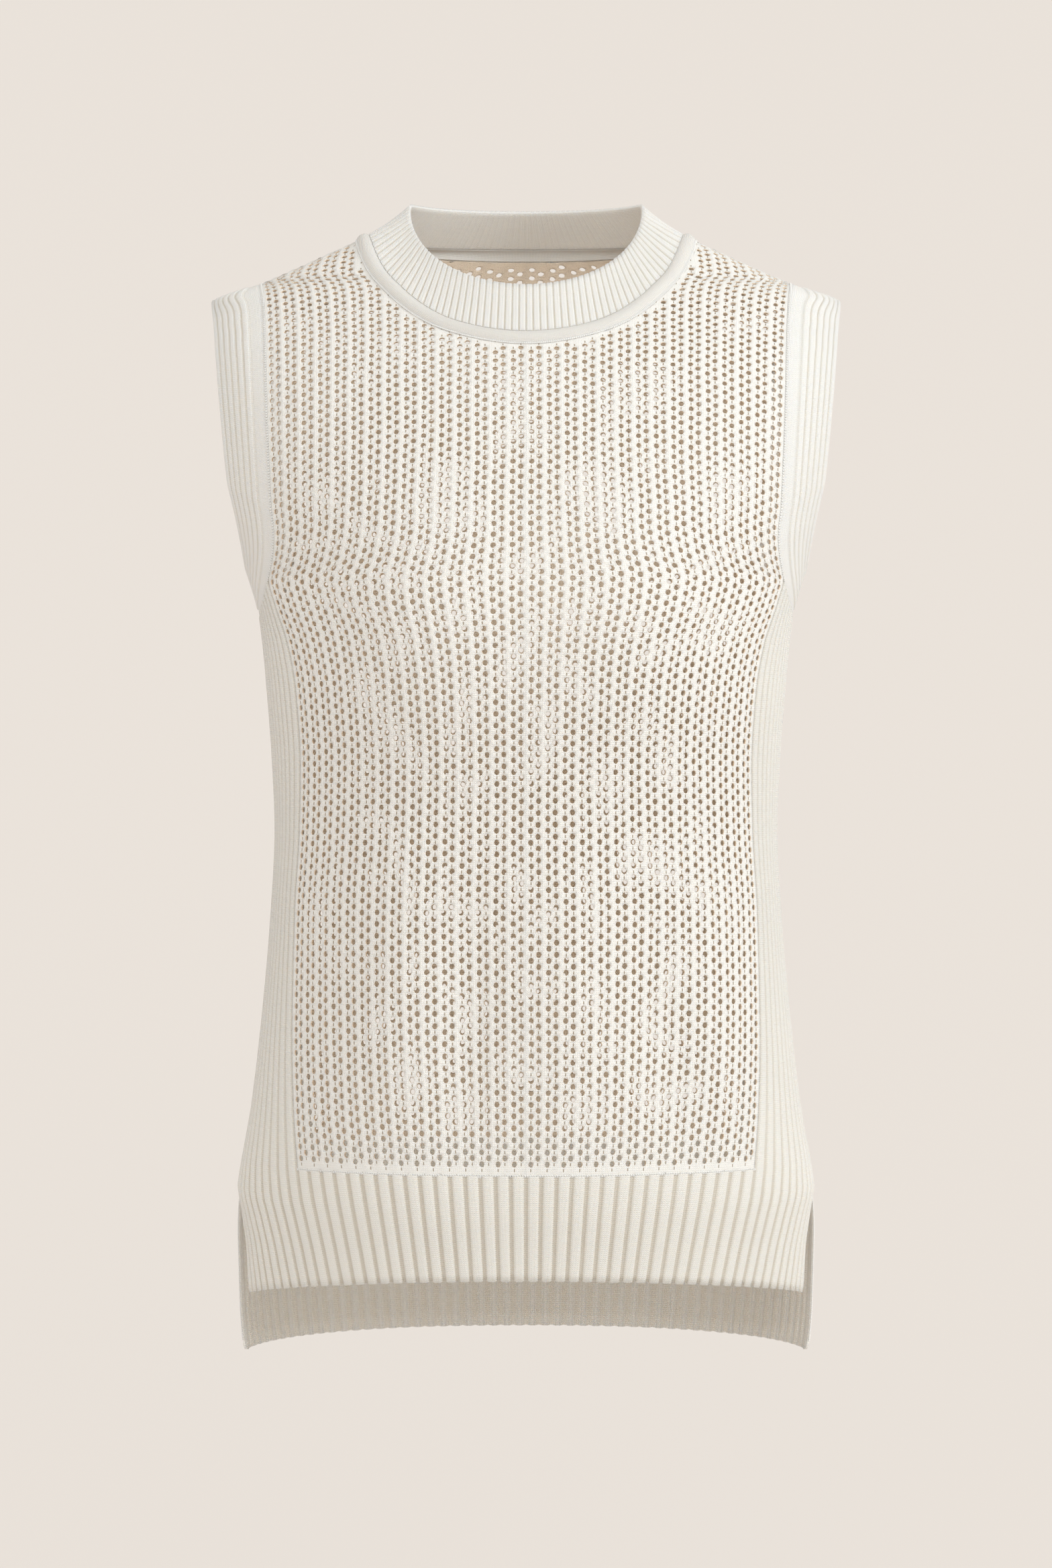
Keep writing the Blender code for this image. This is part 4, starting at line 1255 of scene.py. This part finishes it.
# %% [markdown]
# ## Neck
#
# The neck has two parts. A smooth tubular welt rolls over the edge of the body, and a funnel of
# fine ribs stands on it and leans in to its rim. Both are swept round the neck, from the seam on
# the form up to an oval rim that dips at the front.

# %% Curves round the neck
COLLAR_RIM = Round(73.7, 58, 62)
RIM_FRONT, RIM_SIDE, RIM_BACK = -38.7 * MM, 22 * MM, 26.5 * MM
WELT_WIDTH, WELT_LIFT, WELT_ROLL = 9.5 * MM, math.radians(1), 2.6 * MM
COLLAR_RIBS, WELT_STEPS = 124, 330
ANGLE_STEP = 0.01  # for directions along curves
RIM_SHIFT, RIM_SOFTNESS = 0.12, 0.12  # how ribs lean round the rim, and how softly it dips


def collar_base(angle):
    """Points of the line where the welt meets the collar."""
    seam = neck_seam(angle)
    out = either_half(outwards, seam)
    tangent = unit(neck_seam(angle + ANGLE_STEP) - neck_seam(angle - ANGLE_STEP))
    up = np.cross(out, tangent) * math.cos(WELT_LIFT) + out * math.sin(WELT_LIFT)
    return seam + WELT_WIDTH * up


def rim(angle):
    """Points of the collar's rim, on the ribs that start at angles on its base."""
    angle = np.where(np.cos(angle) > 0, angle + RIM_SHIFT * np.sin(2 * angle), angle)
    x, y = neck_plan(COLLAR_RIM, angle)
    ahead, soft = np.cos(angle), RIM_SOFTNESS
    forward = ((ahead + np.hypot(ahead, soft)) / (1 + math.hypot(1, soft))) ** 0.9
    behind = ((1 - ahead) / 2) ** 2 * (1 - forward)
    height = RIM_SIDE + (RIM_FRONT - RIM_SIDE) * forward + (RIM_BACK - RIM_SIDE) * behind
    return np.stack([x, y, height], axis=-1)


def rise_direction(lower, upper, angle):
    """The outward direction of a strip between two curves round the neck."""
    ahead, behind = angle + ANGLE_STEP, angle - ANGLE_STEP
    along = lower(ahead) + upper(ahead) - lower(behind) - upper(behind)
    return unit(np.cross(along, upper(angle) - lower(angle)))


def even_angles(count):
    """Angles that divide the neck seam into equal lengths, from the front centre round to it."""
    fine = np.linspace(0, math.tau, 1441)
    x, y = neck_plan(NECK_SEAM, fine)
    own = np.concatenate([[0], np.cumsum(np.hypot(np.diff(x), np.diff(y)))])
    return np.interp(np.linspace(0, own[-1], count + 1), own, fine)


def strip_grid(lower, upper, angles, rows, bulge, pitch, rib, flat_height):
    """A strip between two curves round the neck, bulging by a function of its height."""
    share = np.linspace(0, 1, rows)[:, None, None]
    low, high, out = lower(angles), upper(angles), rise_direction(lower, upper, angles)
    points = low + (high - low) * share + out * bulge(share)
    spread = np.broadcast_to(out, points.shape)
    across = np.arange(len(angles)) * pitch
    flat = np.stack(np.broadcast_arrays(across[None], share[..., 0] * flat_height), axis=-1)
    free = (share[..., 0] > 0.5) & (lower is collar_base)
    if lower is collar_base:
        below = rise_direction(neck_seam, collar_base, angles)
        spread = unit(np.where(share < 0.5 / rows, unit(below + out), spread))
    return points, flat, spread, {"rib": rib, "ribbed": 1.0, "lift": 0.0, "rim": free}


print("neck seam:", len(neck_seam(even_angles(WELT_STEPS))), "points")

# %% [markdown]
# The welt is a plain sheet bowed outwards into a roll. The collar leans in with 124 ribs, and its
# inner face is filled flat, because a rib of two layers of wales has no hollow behind it.

# %% Neck welt and collar
WELT_WALL, COLLAR_RIB = 1.6 * MM, 4.35 * MM
welt_angles, collar_angles = even_angles(WELT_STEPS), even_angles(8 * COLLAR_RIBS)
welt_grid = strip_grid(
    neck_seam, collar_base, welt_angles, 13,
    lambda share: WELT_ROLL * np.sin(np.pi * share) ** 0.7, 2.0 * MM, 0.5, 14 * MM,
)
neck_welt = run_tree(
    sheet_mesh("welt_base", welt_grid), raise_ribs, "neck_welt_roll", WELT_WALL,
    Height=0.0, Unevenness=0.08 * MM, Seed=31, Material=plain,
)
collar_grid = strip_grid(
    collar_base, rim, collar_angles, 11, lambda share: -2.0 * MM * share * (1 - share),
    COLLAR_RIB / 8, np.arange(len(collar_angles)) / 8, 36 * MM,
)
collar = run_tree(
    sheet_mesh("collar_base", collar_grid), raise_ribs, "collar_ribs", RIB_WALL,
    inside=0.6 * MM, Height=0.9 * MM, Ridge_ends=0.5, Groove_starts=1.0, Middle_line=0.25,
    Unevenness=0.08 * MM, Seed=41, Material=fine_rib,
)
print("welt:", triangles(neck_welt), "collar:", triangles(collar), "triangles")

# %% [markdown]
# ## Seams
#
# Knitted pieces are linked with a chain of small Vs of yarn. One stitch is modelled, and a tree
# lays it along a line at an even pitch, turned to follow the line and the cloth. The same tree
# makes the row under the welt, the seams round the armholes, the row on top of the hem and the
# corded edges of the slits.

# %% The tree that sews a row
def stitch(name, length, spread, thick):
    """Two leaf-shaped legs of yarn that meet in a V, pointing along X."""
    points, faces = [], []
    for side in (1, -1):
        start = np.array([-length * 0.55, spread * side, 0])
        end = np.array([length * 0.65, 0.12 * spread * side, 0])
        along = (end - start) / np.linalg.norm(end - start)
        across, up = np.cross([0, 0, 1], along), np.array([0, 0, 1])
        base = len(points)
        points.append(tuple(start))
        for share in (0.3, 0.75):
            for turn in (math.tau * k / 5 for k in range(5)):
                round_leg = across * math.cos(turn) + up * math.sin(turn)
                points.append(tuple(start + (end - start) * share + thick * round_leg))
        points.append(tuple(end))
        for k in range(5):
            a, b = base + 1 + k, base + 1 + (k + 1) % 5
            faces += [(base, b, a), (a, b, b + 5, a + 5), (base + 11, a + 5, b + 5)]
    mesh = bpy.data.meshes.new(name)
    mesh.from_pydata(points, [], faces)
    return bpy.data.objects.new(name, mesh)


def row_tree():
    tree, given = new_tree(
        "stitch_row", Stitch=bpy.types.Object, Pitch=1.5 * MM, Unevenness=0.08, Seed=3,
        Material=bpy.types.Material,
    )
    curve = given_by(tree, "GeometryNodeMeshToCurve", {"Mesh": given["Geometry"]})
    pitch = {"Curve": curve, "Length": given["Pitch"]}
    points = node(tree, "GeometryNodeCurveToPoints", pitch, mode="LENGTH").outputs
    axes = {0: Value(points["Tangent"]), 1: stored(tree, "out", "FLOAT_VECTOR")}
    named = {"primary_axis": "X", "secondary_axis": "Z"}
    turned = given_by(tree, "FunctionNodeAxesToRotation", axes, **named)
    seed = {"Seed": given["Seed"]}
    loose = given_by(tree, "FunctionNodeRandomValue", seed, 1, data_type="FLOAT")
    size = maths("MULTIPLY_ADD", loose - 0.5, given["Unevenness"], 1.0)
    source = {"Object": given["Stitch"]}
    shape = given_by(tree, "GeometryNodeObjectInfo", source, "Geometry")
    laid = {"Points": Value(points["Points"]), "Instance": shape, "Rotation": turned, "Scale": size}
    row = given_by(tree, "GeometryNodeInstanceOnPoints", laid)
    end_tree(tree, row, given["Material"])
    return tree


sew_row = row_tree()
chain_stitch = stitch("chain_stitch", 1.5 * MM, 0.62 * MM, 0.36 * MM)
cord_stitch = stitch("cord_stitch", 1.6 * MM, 0.55 * MM, 0.5 * MM)


def sewn(name, lines, pitch, raised, shape=chain_stitch, closed=False):
    """Rows of stitches along lines, each given as points and outward directions."""
    points, edges, out = [], [], []
    for line, direction in lines:
        first = len(points)
        points += (line + raised * direction).tolist()
        out += direction.tolist()
        edges += [(k, k + 1) for k in range(first, len(points) - 1)]
        if closed:
            edges.append((len(points) - 1, first))
    mesh = bpy.data.meshes.new(f"{name}_path")
    mesh.from_pydata(points, edges, [])
    keep_vectors(mesh, "out", out)
    base = in_scene(f"{name}_path", mesh)
    return run_tree(base, sew_row, name, Stitch=shape, Pitch=pitch, Material=yarn)


yarn, _, _ = shader("yarn", PLAIN, 0.85)
print("stitches:", chain_stitch.name, cord_stitch.name)

# %% [markdown]
# The rows follow the lines that the pieces already share: the neck seam, the armhole seams, the top
# of each hem, and the free edges of the slits, where a thicker cord binds the cloth.

# %% Sew the rows
welt_line = neck_seam(np.linspace(0, math.tau, 400)[:-1])
welt_lines = [(welt_line, either_half(outwards, welt_line))]
welt_row = sewn("welt_stitches", welt_lines, 1.3 * MM, 0.55 * MM, closed=True)
seam_rows, hem_rows, slit_cords = {}, {}, {}
for side_name, side in SIDES.items():
    front, back = (armhole_line("seam", half)[0] for half in (FRONT, BACK))
    line = np.concatenate([front[:-1], back[::-1]])
    out = np.concatenate([outwards(FRONT, front[:-1]), outwards(BACK, back[::-1])])
    lines = [(line * (side, 1, 1), out * (side, 1, 1))]
    seam_rows[side_name] = sewn(f"armhole_seam_{side_name}", lines, 1.7 * MM, 0.15 * MM)
for half_name, half in HALVES.items():
    points, _, out, values = hem_grid(half)
    under_net = np.abs(values["rib"]) <= UNDER_NET
    lines = [(points[-1, under_net], out[-1, under_net])]
    hem_rows[half_name] = sewn(f"{half_name}_hem_link", lines, 1.5 * MM, 0.1 * MM)
    low = points[:, 0, 2] < SLIT_APEX - 2 * MM
    lines = [(points[low, k] - 0.5 * RIB_WALL * out[low, k], out[low, k]) for k in (0, -1)]
    name = f"{half_name}_slit_cords"
    slit_cords[half_name] = sewn(name, lines, 1.3 * MM, 0.3 * MM, cord_stitch)
for made in (chain_stitch, cord_stitch):
    bpy.data.objects.remove(made)
rows = [welt_row, *seam_rows.values(), *hem_rows.values(), *slit_cords.values()]
print("rows:", {row.name: triangles(row) for row in rows})

# %% [markdown]
# ## Join the pieces to the frame
#
# Every piece rides the one body of the imported model and stands for its own solids there. The size
# it was cut or knitted to, and its area, are printed.

# %% Ride, replace, print sizes
def cloth_area(*grids):
    """Area of sheets given as grids of points, on one face."""
    total = 0.0
    for points, *_ in grids:
        across, up = points[1:, 1:] - points[:-1, :-1], points[1:, :-1] - points[:-1, 1:]
        total += float(np.linalg.norm(np.cross(across, up), axis=-1).sum()) / 2
    return round(total, 4)


def join_frame(piece, nodes, flat, area, rows=()):
    for moving in (piece, *rows):
        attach(moving, "root")
    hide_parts(*nodes)
    print(f"{piece.name}: {flat[0]:.3f} by {flat[1]:.3f} m flat, {area:.4f} m2")


NET_SIZE = {FRONT: (0.185, 0.623), BACK: (0.173, 0.645)}
RIBS_SIZE = {FRONT: (0.484, 0.447), BACK: (0.472, 0.489)}
BAND_SIZE, WELT_SIZE, COLLAR_SIZE = (0.046, 0.594), (0.656, 0.0145), (0.611, 0.038)
for half_name, half in HALVES.items():
    panel = cloth_area((net_points(half)[0],)) / 2
    for part in nets[half_name]:
        join_frame(part, [f"{half_name}_openwork"], NET_SIZE[half], panel)
    area = cloth_area(hem_grid(half), side_grid(half, -1), side_grid(half, 1))
    nodes = [f"hem_rib_{half_name}"] + [f"side_rib_{half_name}_{side}" for side in SIDES]
    rows = [hem_rows[half_name], slit_cords[half_name]]
    join_frame(ribbed[half_name], nodes, RIBS_SIZE[half], area, rows)
for side_name, side in SIDES.items():
    nodes, rows = [f"arm_rib_{side_name}"], [seam_rows[side_name]]
    join_frame(bands[side_name], nodes, BAND_SIZE, cloth_area(*band_grid(side)), rows)
welt_area = min(cloth_area(welt_grid), WELT_SIZE[0] * WELT_SIZE[1])
join_frame(neck_welt, ["neck_welt"], WELT_SIZE, welt_area, [welt_row])
join_frame(collar, ["neck_rib"], COLLAR_SIZE, cloth_area(collar_grid))

# %% [markdown]
# ## Studio
#
# The photo was taken in soft, even light that comes mostly from the viewer's right, against pale
# paper. A turned sweep of paper goes all the way round, so that a look from any side or from above
# meets the same calm ground.

# %% Paper sweep
FLOOR, SWEEP_RADIUS, COVE, SWEEP_TOP = -1.45, 3.6, 1.2, 5.0
SWEEP_TURNS = 96
turn = np.linspace(0, math.pi / 2, 13)
away = [0.0, *(SWEEP_RADIUS - COVE + COVE * np.sin(turn)), SWEEP_RADIUS]
up = [FLOOR, *(FLOOR + COVE - COVE * np.cos(turn)), SWEEP_TOP]
points, faces, count = [], [], len(up)
for k in range(SWEEP_TURNS):
    angle = math.tau * k / SWEEP_TURNS
    points += [(r * math.sin(angle), r * math.cos(angle), z) for r, z in zip(away, up)]
    for j in range(count - 1):
        a, b = k * count + j, (k + 1) % SWEEP_TURNS * count + j
        faces.append((a, b, b + 1, a + 1))
mesh = bpy.data.meshes.new("paper_sweep")
mesh.from_pydata(points, [], faces)
mesh.shade_smooth()
sweep = in_scene("paper_sweep", mesh)
material, _, surface = shader("paper", (0.24, 0.24, 0.235), 0.9, (0.0, 3 * MM), sheen=0.0)
surface.inputs["Emission Color"].default_value = (0.83, 0.765, 0.705, 1)
surface.inputs["Emission Strength"].default_value = 0.73
material.cycles.emission_sampling = "NONE"  # it surrounds everything, so rays find it anyway
mesh.materials.append(material)
print("paper:", len(faces), "faces")

# %% [markdown]
# A disk of soft light stands at the viewer's right and a weaker one in front, and a small one looks
# down into the neck. The camera stands level with the middle of the top.

# %% Light and camera
Softbox = namedtuple("Softbox", "name place target width power colour")
MIDDLE = (0, 0, -0.34)
SOFTBOXES = [
    Softbox("key", (2.2, -1.2, 0.9), MIDDLE, 1.1, 29, (0.96, 1.0, 1.0)),
    Softbox("fill", (0.3, -2.8, 1.0), MIDDLE, 1.2, 21, (0.965, 1.0, 0.99)),
    Softbox("neck_fill", (-0.1, -0.9, 0.9), (0, 0, 0), 0.5, 1.0, (0.97, 1.0, 0.98)),
]
for box in SOFTBOXES:
    data = bpy.data.lights.new(box.name, "AREA")
    data.shape, data.size, data.energy, data.color = "DISK", box.width, box.power, box.colour
    lamp = in_scene(box.name, data)
    lamp.location = box.place
    aim = Vector(box.target) - Vector(box.place)
    lamp.rotation_euler = aim.to_track_quat("-Z", "Y").to_euler()
world = bpy.data.worlds.new("pale_room")
world.use_nodes = True
air = world.node_tree.nodes["Background"].inputs
air["Color"].default_value = (0.97, 0.985, 0.97, 1)
air["Strength"].default_value = 0.44
bpy.context.scene.world = world
lens = bpy.data.cameras.new("camera")
lens.lens, lens.sensor_width, lens.dof.use_dof = 79.4, 36, False
camera = in_scene("camera", lens)
camera.location = (0, -2.2, -0.348)
camera.rotation_euler = (math.pi / 2, 0, 0)
bpy.context.scene.camera = camera
bpy.context.scene.view_settings.view_transform = "Standard"
print("stage ready")
